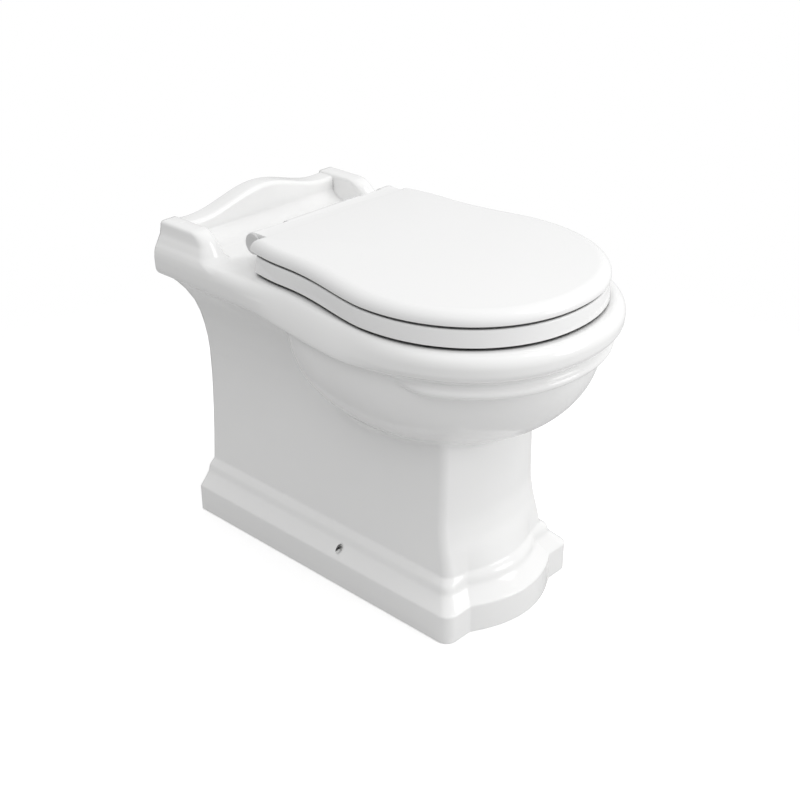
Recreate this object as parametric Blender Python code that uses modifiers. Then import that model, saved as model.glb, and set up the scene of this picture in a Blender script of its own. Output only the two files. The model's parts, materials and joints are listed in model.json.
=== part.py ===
"""A back-to-wall toilet pan with a hinged seat and lid, in metres, +Z up.

The wall is on +Y, the front of the bowl on -Y, and X runs across. The origin is on the floor
under the middle of the pan. Depths are counted from the wall, so at_depth() turns one into a y.
"""
import math

import bmesh
import bpy
import numpy
from mathutils import Matrix, Vector

# Overall sizes
PAN_DEPTH = 0.596
RIM_HEIGHT = 0.4325
RIM_HALF_WIDTH = 0.1945
DECK_HALF_WIDTH = 0.175
UPSTAND_RISE = 0.0525

# Rim in plan
RIM_WIDEST_DEPTH = 0.391
DECK_STRAIGHT_DEPTH = 0.190
RIM_ROUNDNESS = 2.12
RIM_EDGE_HEIGHT = 0.0155
BELLY_BELOW_RIM = 0.0475
FLARE_HEIGHT = 0.1653

# Belly of the bowl, a rounded form that grows out of the pedestal
BELLY_HALF_WIDTH = 0.180
BELLY_CENTRE_DEPTH = 0.345
BELLY_FRONT = 0.2345
BELLY_BACK = 0.175
BELLY_DROP = 0.155
BELLY_FRONT_ROUNDNESS = 2.0
BELLY_BACK_ROUNDNESS = 3.0

# Plinth and pedestal
PLINTH_HALF_WIDTH = 0.1276
PLINTH_FRONT_DEPTH = 0.491
PLINTH_HEIGHT = 0.0405
MOULDING_HEIGHT = 0.0767
PLINTH_CORNER = 0.016
BOW_HALF_WIDTH = 0.083
BOW_RISE = 0.026
COLUMN_BOW_SHARE = 0.73
BLOCK_END_SHARE = 0.3
COLUMN_INSET = 0.0355
COLUMN_FRONT_INSET = 0.044
WALL = 0.012
PLINTH_WALL = 0.0255

# Bowl, measured inside
BOWL_HALF_WIDTH = 0.122
BOWL_FRONT_DEPTH = 0.536
BOWL_BACK_DEPTH = 0.217
BOWL_ROUNDNESS = 2.2
RIM_LIP_DROP = 0.036
RIM_CHANNEL = 0.038
RIM_CHANNEL_FRONT = 0.0285
SUMP_FLOOR_HEIGHT = 0.150

# Trapway and flush inlet
TRAP_RADIUS = 0.0375
TRAP_WALL = 0.011
TRAP_LOW_RADIUS = 0.075
TRAP_LOW_DEPTH = 0.265
TRAP_LOW_HEIGHT = 0.190
TRAP_CREST_RADIUS = 0.062
TRAP_CREST_DEPTH = 0.120
TRAP_CREST_HEIGHT = 0.186
OUTLET_HEIGHT = 0.196
INLET_RADIUS = 0.0275
INLET_WALL = 0.0085
INLET_BELOW_RIM = 0.063
DECK_THICKNESS = 0.014
DECK_HOLLOW_DEPTH = 0.167

# Upstand and its two side arms at the back of the deck
UPSTAND_HALF_WIDTH = 0.160
UPSTAND_THICKNESS = 0.030
UPSTAND_LOW_RISE = 0.0305
UPSTAND_END_RISE = 0.003
UPSTAND_HUMP_HALF_WIDTH = 0.117
UPSTAND_EDGE = 0.006
UPSTAND_FILLET = 0.013
ARM_THICKNESS = 0.028
ARM_REACH = 0.070
ARM_FOOT_REACH = 0.135
ARM_RISE = 0.0335

# Seat and lid
SEAT_HALF_WIDTH = 0.1764
SEAT_FRONT_DEPTH = 0.575
SEAT_WIDEST_DEPTH = 0.391
SEAT_WAIST_DEPTH = 0.229
SEAT_WAIST_HALF_WIDTH = 0.153
SEAT_BACK_DEPTH = 0.1668
SEAT_BACK_NARROWING = 0.021
SEAT_BACK_RUN = 0.084
SEAT_CORNER = 0.010
SEAT_GAP = 0.0035
SEAT_THICKNESS = 0.022
SEAT_EDGE = 0.003
SEAT_HOLE_HALF_WIDTH = 0.108
SEAT_HOLE_FRONT_DEPTH = 0.503
SEAT_HOLE_BACK_DEPTH = 0.228
LID_GAP = 0.004
LID_THICKNESS = 0.0165
LID_EDGE = 0.009
LID_CROWN = 0.002
LID_BAND = 0.015
LID_RECESS = 0.0055

# Hinges
HINGE_DEPTH = 0.150
HINGE_SPACING = 0.155
HINGE_RADIUS = 0.0150
SLEEVE_RADIUS = 0.0108
HINGE_RISE = 0.031
HINGE_GAP = 0.0008
PIN_RADIUS = 0.004
PIN_PLAY = 0.00015
POST_WIDTH = 0.020
POST_STEM = 0.014
POST_NECK = 0.0066
POST_FLANGE_RADIUS = 0.0150
POST_FLANGE_HEIGHT = 0.0035
KNUCKLE_WIDTH = 0.020
LUG_WIDTH = 0.0172
LID_HINGE_CLEARANCE = 0.0012
HOOD_END = 0.005
GASKET_HEIGHT = 0.0015
CAP_LENGTH = 0.0035
STUD_RADIUS = 0.004
STUD_HOLE_RADIUS = 0.0065
STUD_GRIP = 0.010
STUD_LENGTH = 0.062
WASHER_RADIUS = 0.014
WASHER_HEIGHT = 0.006
NUT_RADIUS = 0.0085
NUT_HEIGHT = 0.012
WING_SPAN = 0.032
WING_THICKNESS = 0.003

# Rubber buffers
SEAT_BUFFER_LENGTH = 0.026
SEAT_BUFFER_WIDTH = 0.010
SEAT_BUFFER_DEPTHS = (0.250, 0.480)
LID_BUFFER_RADIUS = 0.006
LID_BUFFER_DEPTHS = (0.262, 0.500)

# Floor fixing
FIXING_DEPTH = 0.283
FIXING_HEIGHT = 0.051
FIXING_HOLE_RADIUS = 0.0052
BRACKET_LENGTH = 0.050
BRACKET_FOOT = 0.036
BRACKET_HEIGHT = 0.060
BRACKET_THICKNESS = 0.003
BRACKET_SLOT_RADIUS = 0.0035
BRACKET_HOLE_RADIUS = 0.0030
SCREW_HEAD_RADIUS = 0.0048
SCREW_HEAD_LENGTH = 0.004
SCREW_RADIUS = 0.0026

# Shared fits and steps
GAP = 0.0003
OVERRUN = 0.010
EDGE = 0.0006
WELD = 0.00005
TUBE_RESOLUTION = 5
TUBE_SIDES = 14
ROUND_SIDES = 20

WALL_Y = PAN_DEPTH / 2
HUB_DEPTH = PAN_DEPTH / 2
UPSTAND_HEIGHT = RIM_HEIGHT + UPSTAND_RISE
UPSTAND_LOW_HEIGHT = RIM_HEIGHT + UPSTAND_LOW_RISE
ARM_HEIGHT = RIM_HEIGHT + ARM_RISE
INLET_HEIGHT = RIM_HEIGHT - INLET_BELOW_RIM
BELLY_TOP_HEIGHT = RIM_HEIGHT - BELLY_BELOW_RIM
RIM_ROLL_HEIGHT = RIM_HEIGHT - RIM_EDGE_HEIGHT
FLARE_FOOT_HEIGHT = RIM_ROLL_HEIGHT - FLARE_HEIGHT
SEAT_BOTTOM = RIM_HEIGHT + SEAT_GAP
SEAT_TOP = SEAT_BOTTOM + SEAT_THICKNESS
LID_BOTTOM = SEAT_TOP + LID_GAP
LID_TOP = LID_BOTTOM + LID_THICKNESS
HINGE_HEIGHT = RIM_HEIGHT + HINGE_RISE
HINGE_X = HINGE_SPACING / 2
LID_BACK_DEPTH = HINGE_DEPTH + HINGE_RADIUS + LID_HINGE_CLEARANCE

# Shares of the pedestal's inset at shares of the moulding's height, from the plinth's top edge up
MOULDING_SHARES = (
    (0.00, 0.00, 0.00),
    (0.04, 0.04, 0.04),
    (0.24, 0.24, 0.19),
    (0.39, 0.38, 0.30),
    (0.52, 0.48, 0.38),
    (0.77, 0.56, 0.45),
    (1.00, 0.83, 0.61),
)
# Shares of the inset up the column, at shares of the way from the moulding to the belly's top
COLUMN_SHARES = (
    (0.00, 0.83, 0.61),
    (0.08, 0.88, 0.77),
    (0.15, 0.92, 0.91),
    (0.25, 0.97, 1.00),
    (0.50, 1.03, 1.00),
    (0.62, 1.00, 1.00),
    (1.00, 0.98, 0.98),
)
# The flare under the deck, as shares of the way from the roll to the column: (height, inset)
FLARE_SHARES = (
    (0.00, 0.00),
    (0.06, 0.02),
    (0.115, 0.09),
    (0.17, 0.22),
    (0.245, 0.37),
    (0.29, 0.47),
    (0.385, 0.625),
    (0.475, 0.74),
    (0.55, 0.81),
    (0.645, 0.88),
    (0.75, 0.93),
    (0.87, 0.975),
    (1.00, 1.00),
)
# Rim section at the sides and back, (height, inset) below the roll's line, and the top edge above
ROLL_DEPTH = 0.032
ROLL_INSET = 0.018
SIDE_ROLL_SHARES = ((0.0, 0.0), (0.32, 0.08), (0.60, 0.40), (0.89, 0.89), (1.0, 1.0))
# Rim section at the front: the roll, a cove and a small bead over the belly
FRONT_ROLL_SHARES = (
    (0.0, 0.0),
    (0.28, 0.04),
    (0.53, 0.33),
    (0.69, 0.72),
    (0.84, 0.94),
    (1.0, 0.86),
    (1.09, 0.69),
    (1.19, 0.64),
    (1.28, 0.69),
    (1.37, 0.83),
)
TOP_EDGE_SHARES = ((0.0, 0.0), (0.55, 0.18), (0.84, 0.52), (1.0, 1.0))
TOP_EDGE_INSET = 0.0135
ARM_SIDE_SHARE = 0.85
# The end cap's section, as (share of its radius, share of its length)
CAP_SHARES = ((0.0, 1.0), (0.735, 1.0), (0.941, 0.75), (1.0, 0.35), (1.0, 0.0), (0.0, 0.0))
FLARE_END_ANGLE = math.radians(50)
ROLL_START_ANGLE = math.radians(75)
BEAD_START_ANGLE = math.radians(122)
BEAD_FULL_ANGLE = math.radians(146)

# Where the pan's sections have their corners, as shares of the way round from the wall to the front.
# They are closest where the side runs into the belly and where the plinth's front is bowed.
STATION_SHARES = (0.0, 0.08, 0.14, 0.18, 0.22, 0.26, 0.30, 0.345, 0.39, 0.44, 0.50, 0.56, 0.62, 0.68,
                  0.735, 0.785, 0.82, 0.845, 0.87, 0.90, 0.935, 0.967, 1.0)

WHITE_CHINA = (0.86, 0.86, 0.85, 1.0)
WHITE_PLASTIC = (0.84, 0.84, 0.83, 1.0)
PALE_RUBBER = (0.72, 0.72, 0.70, 1.0)
DARK_RUBBER = (0.05, 0.05, 0.05, 1.0)
BRIGHT_METAL = (0.60, 0.60, 0.60, 1.0)
CAP_GREY = (0.35, 0.35, 0.35, 1.0)
NYLON_GREY = (0.55, 0.55, 0.54, 1.0)


def at_depth(depth):
    """The y of a point that lies this far from the wall."""
    return WALL_Y - depth


def ease(share):
    """A smooth step from 0 to 1."""
    share = min(max(share, 0.0), 1.0)
    return (1 - math.cos(math.pi * share)) / 2


def between(start, end, share):
    """The value this share of the way from start to end."""
    return start + (end - start) * share


def from_table(table, position, column=1):
    """Read a column of a table of shares at a position, in straight steps."""
    return float(numpy.interp(position, [row[0] for row in table], [row[column] for row in table]))


# Scene helpers

def make_collection(name):
    collection = bpy.data.collections.new(name)
    bpy.context.scene.collection.children.link(collection)
    return collection


def make_material(name, colour, roughness, metallic=0.0):
    material = bpy.data.materials.new(name)
    material.use_nodes = True
    shader = material.node_tree.nodes["Principled BSDF"]
    shader.inputs["Base Color"].default_value = colour
    shader.inputs["Roughness"].default_value = roughness
    shader.inputs["Metallic"].default_value = metallic
    material.diffuse_color = colour
    return material


def finish_mesh(mesh, form):
    """Weld a bmesh, turn its faces outwards and write it to a mesh."""
    bmesh.ops.remove_doubles(form, verts=form.verts, dist=EDGE / 100)
    bmesh.ops.recalc_face_normals(form, faces=form.faces)
    form.to_mesh(mesh)
    form.free()
    mesh.validate()
    mesh.shade_smooth()
    mesh.set_sharp_from_angle(angle=math.radians(35))


def make_object(name, form, collection, material=None):
    mesh = bpy.data.meshes.new(name)
    finish_mesh(mesh, form)
    item = bpy.data.objects.new(name, mesh)
    collection.objects.link(item)
    if material:
        mesh.materials.append(material)
    return item


def loft(rings, closed=True, caps=True):
    """A skin through rings of equally many points; the first and last ring are capped."""
    form = bmesh.new()
    rows = [[form.verts.new(point) for point in ring] for ring in rings]
    count = len(rows[0])
    for low, high in zip(rows, rows[1:]):
        for index in range(count if closed else count - 1):
            after = (index + 1) % count
            form.faces.new((low[index], low[after], high[after], high[index]))
    if caps:
        form.faces.new(reversed(rows[0]))
        form.faces.new(rows[-1])
    return form


def as_form(item):
    """The finished mesh of a helper object, welded, as a form. The helper is removed."""
    bpy.context.scene.collection.objects.link(item)
    depsgraph = bpy.context.evaluated_depsgraph_get()
    mesh = bpy.data.meshes.new_from_object(item.evaluated_get(depsgraph))
    form = bmesh.new()
    form.from_mesh(mesh)
    bmesh.ops.remove_doubles(form, verts=form.verts, dist=WELD)
    bpy.data.objects.remove(item)
    bpy.data.meshes.remove(mesh)
    return form


def curve_helper(name, points, closed):
    curve = bpy.data.curves.new(name, "CURVE")
    line = curve.splines.new("POLY")
    line.points.add(len(points) - 1)
    for point, place in zip(line.points, points):
        point.co = (*place, 1)
    line.use_cyclic_u = closed
    return curve


def tube(path, radius):
    """A round rod along a path."""
    curve = curve_helper("path", path, False)
    curve.dimensions = "3D"
    curve.bevel_depth = radius
    curve.bevel_resolution = TUBE_RESOLUTION
    curve.use_fill_caps = True
    return as_form(bpy.data.objects.new("path", curve))


def plate(outline, bottom, top):
    """A flat piece with the same outline from bottom to top."""
    curve = curve_helper("outline", [(x, y, 0) for x, y in outline], True)
    curve.dimensions = "2D"
    curve.fill_mode = "BOTH"
    curve.extrude = (top - bottom) / 2
    form = as_form(bpy.data.objects.new("outline", curve))
    form.transform(Matrix.Translation((0, 0, (top + bottom) / 2)))
    return form


def cylinder(radius, length, sides=ROUND_SIDES, end_radius=None):
    """A cylinder, or a cone, centred on the origin along Z."""
    form = bmesh.new()
    bmesh.ops.create_cone(form, cap_ends=True, segments=sides, radius1=radius,
                          radius2=radius if end_radius is None else end_radius, depth=length)
    return form


def along_x(form, x, depth, height):
    """Lay a form that stands along Z down along X and move it to its place."""
    form.transform(Matrix.Translation((x, at_depth(depth), height)) @ Matrix.Rotation(math.pi / 2, 4, "Y"))
    return form


def upright(form, x, depth, height):
    form.transform(Matrix.Translation((x, at_depth(depth), height)))
    return form


def box(low, high):
    """A box between two corners given as (x, depth, height)."""
    form = bmesh.new()
    bmesh.ops.create_cube(form, size=1)
    start = Vector((low[0], at_depth(low[1]), low[2]))
    end = Vector((high[0], at_depth(high[1]), high[2]))
    size = end - start
    scale = Matrix.Diagonal((abs(size.x), abs(size.y), abs(size.z), 1))
    form.transform(Matrix.Translation((start + end) / 2) @ scale)
    return form


def turned(profile, sides=ROUND_SIDES):
    """A solid turned about Z from (radius, height) points that run down its outer side.

    A profile that starts on the axis ends on it too; any other one is closed, and leaves a bore.
    """
    count = len(profile)
    edges = [(index, index + 1) for index in range(count - 1)]
    if profile[0][0] > 0:
        edges.append((count - 1, 0))
    mesh = bpy.data.meshes.new("profile")
    mesh.from_pydata([(radius, 0, height) for radius, height in profile], edges, [])
    item = bpy.data.objects.new("profile", mesh)
    screw = item.modifiers.new("turn", "SCREW")
    screw.axis = "Z"
    screw.angle = 2 * math.pi
    screw.steps = sides
    screw.render_steps = sides
    screw.use_merge_vertices = True
    screw.merge_threshold = WELD
    return as_form(item)


class Workshop:
    """Keeps the collections, and joins or cuts a body with other forms."""

    def __init__(self):
        self.parts = make_collection("toilet")
        self.cutters = make_collection("cutters")

    def part(self, name, form, material, origin=(0, 0, 0)):
        form.transform(Matrix.Translation(-Vector(origin)))
        item = make_object(name, form, self.parts, material)
        item.location = origin
        return item

    def combine(self, body, name, form, operation):
        tool = make_object(name, form, self.cutters)
        tool.hide_render = True
        tool.display_type = "WIRE"
        step = body.modifiers.new(name, "BOOLEAN")
        step.operation = operation
        step.solver = "EXACT"
        step.object = tool

    def join(self, body, name, form):
        self.combine(body, name, form, "UNION")

    def cut(self, body, name, form):
        self.combine(body, name, form, "DIFFERENCE")


# Outlines in plan. Each is half of a symmetric outline, as (x, depth) points that run from the
# wall, or from the back of the outline, round the side to the front.

def oval_quarter(half_width, centre, reach, roundness, steps, start=0.0):
    """A quarter of a superellipse, from its widest point to its front."""
    points = []
    for step in range(steps + 1):
        turn = between(start, math.pi / 2, step / steps)
        x = half_width * max(math.cos(turn), 0.0) ** (2 / roundness)
        depth = centre + reach * math.sin(turn) ** (2 / roundness)
        points.append((x, depth))
    return points


def rim_outline(inset, steps=40):
    """The line of the rim's roll, moved inwards by an inset."""
    points = []
    for step in range(steps):
        depth = RIM_WIDEST_DEPTH * step / steps
        swell = ease((depth - DECK_STRAIGHT_DEPTH) / (RIM_WIDEST_DEPTH - DECK_STRAIGHT_DEPTH))
        points.append((between(DECK_HALF_WIDTH, RIM_HALF_WIDTH, swell) - inset, depth))
    front = oval_quarter(RIM_HALF_WIDTH - inset, RIM_WIDEST_DEPTH,
                         PAN_DEPTH - RIM_WIDEST_DEPTH - inset, RIM_ROUNDNESS, steps)
    return points + front


def flare_outline(half_width, steps=40):
    """The underside of the deck, straight along the sides and closed inside the belly."""
    straight = [(half_width, RIM_WIDEST_DEPTH * step / steps / 2) for step in range(steps)]
    return straight + oval_quarter(half_width, RIM_WIDEST_DEPTH / 2, half_width,
                                   BELLY_FRONT_ROUNDNESS, steps)


def belly_ring(drop, inset, quarter=12):
    """A level section of the belly, at a share of its drop below its widest line."""
    height = BELLY_TOP_HEIGHT - BELLY_DROP * drop
    scale = math.sqrt(max(1 - drop * drop, 0.0))
    half_width = BELLY_HALF_WIDTH * scale - inset
    back = oval_quarter(half_width, 0, BELLY_BACK * scale - inset, BELLY_BACK_ROUNDNESS, quarter)
    front = oval_quarter(half_width, BELLY_CENTRE_DEPTH, BELLY_FRONT * scale - inset,
                         BELLY_FRONT_ROUNDNESS, quarter)
    half = [(x, BELLY_CENTRE_DEPTH - reach) for x, reach in reversed(back)] + front[1:]
    half[0] = (0.0, half[0][1])
    half[-1] = (0.0, half[-1][1])
    ring = [Vector((x, at_depth(depth), height)) for x, depth in half]
    return ring + [Vector((-x, at_depth(depth), height)) for x, depth in reversed(half[1:-1])]


def pedestal_inset(height):
    """How far the side and the front lie inside the plinth's at a height."""
    if height <= PLINTH_HEIGHT:
        return 0.0, 0.0
    if height <= MOULDING_HEIGHT:
        place = (height - PLINTH_HEIGHT) / (MOULDING_HEIGHT - PLINTH_HEIGHT)
        table = MOULDING_SHARES
    else:
        place = (height - MOULDING_HEIGHT) / (BELLY_TOP_HEIGHT - MOULDING_HEIGHT)
        table = COLUMN_SHARES
    return COLUMN_INSET * from_table(table, place), COLUMN_FRONT_INSET * from_table(table, place, 2)


def pedestal_outline(height, wall=0.0, steps=8):
    """A level section of the plinth or the column: straight sides, corner blocks and a bowed front.

    Up the moulding the corner blocks run out, and one even bow from side to side takes their place.
    """
    side_inset, front_inset = pedestal_inset(height)
    half_width = PLINTH_HALF_WIDTH - side_inset - wall
    front = PLINTH_FRONT_DEPTH - front_inset - wall
    corner = PLINTH_CORNER
    bow = BOW_HALF_WIDTH * half_width / PLINTH_HALF_WIDTH
    climb = front_inset / COLUMN_FRONT_INSET
    rise = BOW_RISE * between(1.0, COLUMN_BOW_SHARE, climb)
    run_out = ease((climb - BLOCK_END_SHARE) / (1 - 1.3 * BLOCK_END_SHARE))

    def bulge(x):
        block = max(1 - (x / bow) ** 2, 0)
        return rise * between(block, 1 - (x / half_width) ** 2, run_out)

    points = [(half_width, 0.0), (half_width, (front - corner) / 2)]
    for step in range(steps + 1):
        turn = math.pi / 2 * step / steps
        x = half_width - corner * (1 - math.cos(turn))
        points.append((x, front - corner * (1 - math.sin(turn)) + bulge(x)))
    for step in range(2 * steps + 1):
        x = bow * (1 - step / (2 * steps))
        points.append((x, front + bulge(x)))
    return points


def radii(outline, angles, hub=HUB_DEPTH, splits=12):
    """How far an outline lies from the hub at each angle, counted from the way to the wall."""
    turns = []
    reaches = []
    for (x, depth), (next_x, next_depth) in zip(outline, outline[1:] + outline[-1:]):
        for split in range(splits):
            across = between(x, next_x, split / splits)
            ahead = hub - between(depth, next_depth, split / splits)
            turns.append(math.atan2(across, ahead))
            reaches.append(math.hypot(across, ahead))
    return numpy.interp(angles, turns, reaches)


def flare_half_width(height):
    """Half the width of the underside of the deck at a height below the roll."""
    place = (RIM_ROLL_HEIGHT - height) / (RIM_ROLL_HEIGHT - FLARE_FOOT_HEIGHT)
    return between(DECK_HALF_WIDTH, PLINTH_HALF_WIDTH - COLUMN_INSET, from_table(FLARE_SHARES, place))


def rim_radii(height, angles):
    """The rim's roll: it runs into the flare at the back and gains a cove and a bead in front."""
    if height >= RIM_ROLL_HEIGHT:
        place = (height - RIM_ROLL_HEIGHT) / (RIM_HEIGHT - RIM_ROLL_HEIGHT)
        return radii(rim_outline(TOP_EDGE_INSET * from_table(TOP_EDGE_SHARES, place)), angles)
    place = (RIM_ROLL_HEIGHT - height) / ROLL_DEPTH
    back = radii(rim_outline(DECK_HALF_WIDTH - flare_half_width(height)), angles)
    side = radii(rim_outline(ROLL_INSET * (from_table(SIDE_ROLL_SHARES, place) + max(place - 1, 0))), angles)
    front = radii(rim_outline(ROLL_INSET * from_table(FRONT_ROLL_SHARES, place)), angles)
    to_side = numpy.array([ease((turn - FLARE_END_ANGLE) / (ROLL_START_ANGLE - FLARE_END_ANGLE))
                           for turn in angles])
    to_front = numpy.array([ease((turn - BEAD_START_ANGLE) / (BEAD_FULL_ANGLE - BEAD_START_ANGLE))
                            for turn in angles])
    return (back * (1 - to_side) + side * to_side) * (1 - to_front) + front * to_front


def outer_section(height):
    """The pan's outline at a height, as (x, y, z) points from one wall corner round to the other."""
    side_inset, _ = pedestal_inset(height)
    half_width = PLINTH_HALF_WIDTH - side_inset
    if height > FLARE_FOOT_HEIGHT:
        half_width = max(half_width, flare_half_width(height))
    if height > RIM_ROLL_HEIGHT:
        half_width = rim_outline(0)[0][0]
        half_width -= TOP_EDGE_INSET * from_table(
            TOP_EDGE_SHARES, (height - RIM_ROLL_HEIGHT) / (RIM_HEIGHT - RIM_ROLL_HEIGHT))
    corner = math.atan2(half_width, HUB_DEPTH)
    angles = numpy.array([between(corner, math.pi, share) for share in STATION_SHARES])
    reach = numpy.zeros(len(angles))
    if height < BELLY_TOP_HEIGHT:
        reach = numpy.maximum(reach, radii(pedestal_outline(height), angles))
    if height > FLARE_FOOT_HEIGHT and height < RIM_ROLL_HEIGHT:
        reach = numpy.maximum(reach, radii(flare_outline(flare_half_width(height)), angles))
    if height >= RIM_ROLL_HEIGHT - FRONT_ROLL_SHARES[-1][0] * ROLL_DEPTH:
        reach = numpy.maximum(reach, rim_radii(height, angles))
    half = []
    for turn, distance in zip(angles, reach):
        half.append((distance * math.sin(turn), HUB_DEPTH - distance * math.cos(turn)))
    half[0] = (half_width, 0.0)
    half[-1] = (0.0, half[-1][1])
    left = [(-x, at_depth(depth), height) for x, depth in half]
    right = [(x, at_depth(depth), height) for x, depth in reversed(half[:-1])]
    return left + right


# Pan

COLUMN_ROW_SHARES = (0.08, 0.15, 0.28, 0.45, 0.60, 0.67, 0.74, 0.81, 0.88, 0.95)
BEAD_ROW_SHARES = (1.37, 1.28, 1.19, 1.09, 1.0, 0.84, 0.69, 0.53, 0.28)
TOP_ROW_SHARES = (0.0, 0.55, 0.84, 1.0)
BELLY_ROW_SHARES = (0.0, 0.09, 0.2, 0.33, 0.46, 0.58, 0.69, 0.79, 0.87, 0.93, 0.975)


def pan_rows():
    """The heights of the pan's sections, from the floor to the top of the rim."""
    rows = [0.0, PLINTH_HEIGHT]
    rows += [between(PLINTH_HEIGHT, MOULDING_HEIGHT, row[0]) for row in MOULDING_SHARES[1:]]
    upper = RIM_ROLL_HEIGHT - FRONT_ROLL_SHARES[-1][0] * ROLL_DEPTH
    rows += [between(MOULDING_HEIGHT, upper, share) for share in COLUMN_ROW_SHARES]
    rows += [RIM_ROLL_HEIGHT - share * ROLL_DEPTH for share in BEAD_ROW_SHARES]
    rows += [between(RIM_ROLL_HEIGHT, RIM_HEIGHT, share) for share in TOP_ROW_SHARES]
    return rows


def belly_form():
    """The rounded belly, with its top tucked inside the rim."""
    rings = [belly_ring(share, 0.0) for share in reversed(BELLY_ROW_SHARES)]
    tuck = belly_ring(0.0, ROLL_INSET)
    return loft(rings + [[point + Vector((0, 0, ROLL_INSET / 2)) for point in tuck]])


def outer_form():
    return loft([outer_section(height) for height in pan_rows()])


def oval_ring(half_width, front, back, height, roundness=BOWL_ROUNDNESS, quarter=9):
    """A closed oval in plan between two depths."""
    centre = (front + back) / 2
    reach = (front - back) / 2
    ahead = oval_quarter(half_width, centre, reach, roundness, quarter)
    behind = [(x, 2 * centre - depth) for x, depth in reversed(ahead)]
    half = behind[:-1] + ahead
    right = [Vector((x, at_depth(depth), height)) for x, depth in half]
    left = [Vector((-x, at_depth(depth), height)) for x, depth in reversed(half[1:-1])]
    return right + left


# Drop and outward step of the bowl's inner face, down the lip and up into the channel under the rim
LIP_SHARES = ((-0.28, 0.12), (0.0, 0.12), (0.08, 0.03), (0.18, 0.0), (0.93, 0.0), (1.0, 0.10),
              (1.0, 0.24), (0.50, 0.26), (0.42, 0.40), (0.42, 0.85), (0.55, 1.0), (1.0, 1.0))
# Lower bowl as shares of its height above the sump's floor, half width, and the way from the back
# to the front at which its front and its back lie
BOWL_SHARES = (
    (1.00, 1.00, 1.000, 0.000),
    (0.85, 0.985, 0.988, 0.028),
    (0.68, 0.89, 0.926, 0.054),
    (0.55, 0.73, 0.838, 0.086),
    (0.45, 0.49, 0.716, 0.112),
    (0.34, 0.42, 0.638, 0.132),
    (0.21, 0.375, 0.560, 0.158),
    (0.085, 0.30, 0.482, 0.184),
    (0.0, 0.22, 0.418, 0.215),
)


def bowl_rings(grow=0.0):
    """Rings of the lower bowl, grown outwards for the china round the sump."""
    widest = BOWL_HALF_WIDTH + RIM_CHANNEL
    front = BOWL_FRONT_DEPTH + RIM_CHANNEL_FRONT
    back = BOWL_BACK_DEPTH - RIM_CHANNEL
    top = RIM_HEIGHT - 1.3 * RIM_LIP_DROP
    rings = []
    for height_share, width_share, front_share, back_share in BOWL_SHARES:
        height = between(SUMP_FLOOR_HEIGHT, top, height_share)
        rings.append(oval_ring(widest * width_share + grow,
                               between(back, front, front_share) + grow,
                               between(back, front, back_share) - grow, height - grow))
    return rings


def bowl_form():
    """The hollow of the bowl with the channel under the rim."""
    rings = []
    for drop_share, out_share in LIP_SHARES:
        step = RIM_CHANNEL * out_share
        ahead = RIM_CHANNEL_FRONT * out_share
        rings.append(oval_ring(BOWL_HALF_WIDTH + step, BOWL_FRONT_DEPTH + ahead,
                               BOWL_BACK_DEPTH - step, RIM_HEIGHT - RIM_LIP_DROP * drop_share))
    return loft(rings + bowl_rings())


def sump_shell_form():
    """China round the part of the bowl that hangs in the hollow pedestal."""
    return loft(bowl_rings()[4:5] + bowl_rings(grow=WALL)[5:])


def column_hollow_form():
    """The space inside the pedestal, open below and at the back."""
    heights = (-OVERRUN, MOULDING_HEIGHT * 0.8, MOULDING_HEIGHT * 1.05, FLARE_FOOT_HEIGHT * 0.6,
               FLARE_FOOT_HEIGHT * 0.97)
    rings = []
    for height in heights:
        wall = PLINTH_WALL if height < MOULDING_HEIGHT else WALL
        level = max(height, 0.0) if height < MOULDING_HEIGHT * 0.5 else height
        if height < MOULDING_HEIGHT:
            half = pedestal_outline(0.0, wall)
        else:
            half = pedestal_outline(level, wall)
        half = [(half[0][0], -OVERRUN)] + half[1:]
        ring = [Vector((-x, at_depth(depth), height)) for x, depth in half]
        ring += [Vector((x, at_depth(depth), height)) for x, depth in reversed(half[:-1])]
        rings.append(ring)
    return loft(rings)


def deck_hollow_form():
    """The space under the deck, behind the bowl and over the column."""
    heights = [between(FLARE_FOOT_HEIGHT * 0.9, RIM_HEIGHT - DECK_THICKNESS, share)
               for share in (0.0, 0.12, 0.35, 0.52, 0.66, 0.76, 0.86, 0.93, 1.0)]
    rings = []
    for height in heights:
        half_width = flare_half_width(max(height, FLARE_FOOT_HEIGHT)) - WALL * 1.25
        half_width = min(half_width, DECK_HALF_WIDTH - 1.6 * WALL)
        rings.append([Vector((x, at_depth(depth), height)) for x, depth in (
            (-half_width, -OVERRUN), (-half_width, DECK_HOLLOW_DEPTH),
            (half_width, DECK_HOLLOW_DEPTH), (half_width, -OVERRUN))])
    return loft(rings)


def trap_path(overrun=0.0):
    """The middle line of the trapway, from the sump over the crest to the outlet."""
    low = Vector((0, at_depth(TRAP_LOW_DEPTH), TRAP_LOW_HEIGHT))
    crest = Vector((0, at_depth(TRAP_CREST_DEPTH), TRAP_CREST_HEIGHT))
    path = [Vector((0, at_depth(TRAP_LOW_DEPTH + TRAP_LOW_RADIUS), TRAP_LOW_HEIGHT - TRAP_LOW_RADIUS / 5))]
    for step in range(6):
        turn = math.radians(between(-45, 68, step / 5))
        path.append(low + Vector((0, math.sin(turn), -math.cos(turn))) * TRAP_LOW_RADIUS)
    for step in range(6):
        turn = math.radians(between(68, -40, step / 5))
        path.append(crest + Vector((0, -math.sin(turn), math.cos(turn))) * TRAP_CREST_RADIUS)
    path.append(Vector((0, at_depth(1.25 * TRAP_RADIUS), OUTLET_HEIGHT + TRAP_RADIUS / 5)))
    path.append(Vector((0, at_depth(2 * TRAP_WALL), OUTLET_HEIGHT)))
    path.append(Vector((0, at_depth(TRAP_WALL - overrun), OUTLET_HEIGHT)))
    return path


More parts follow.
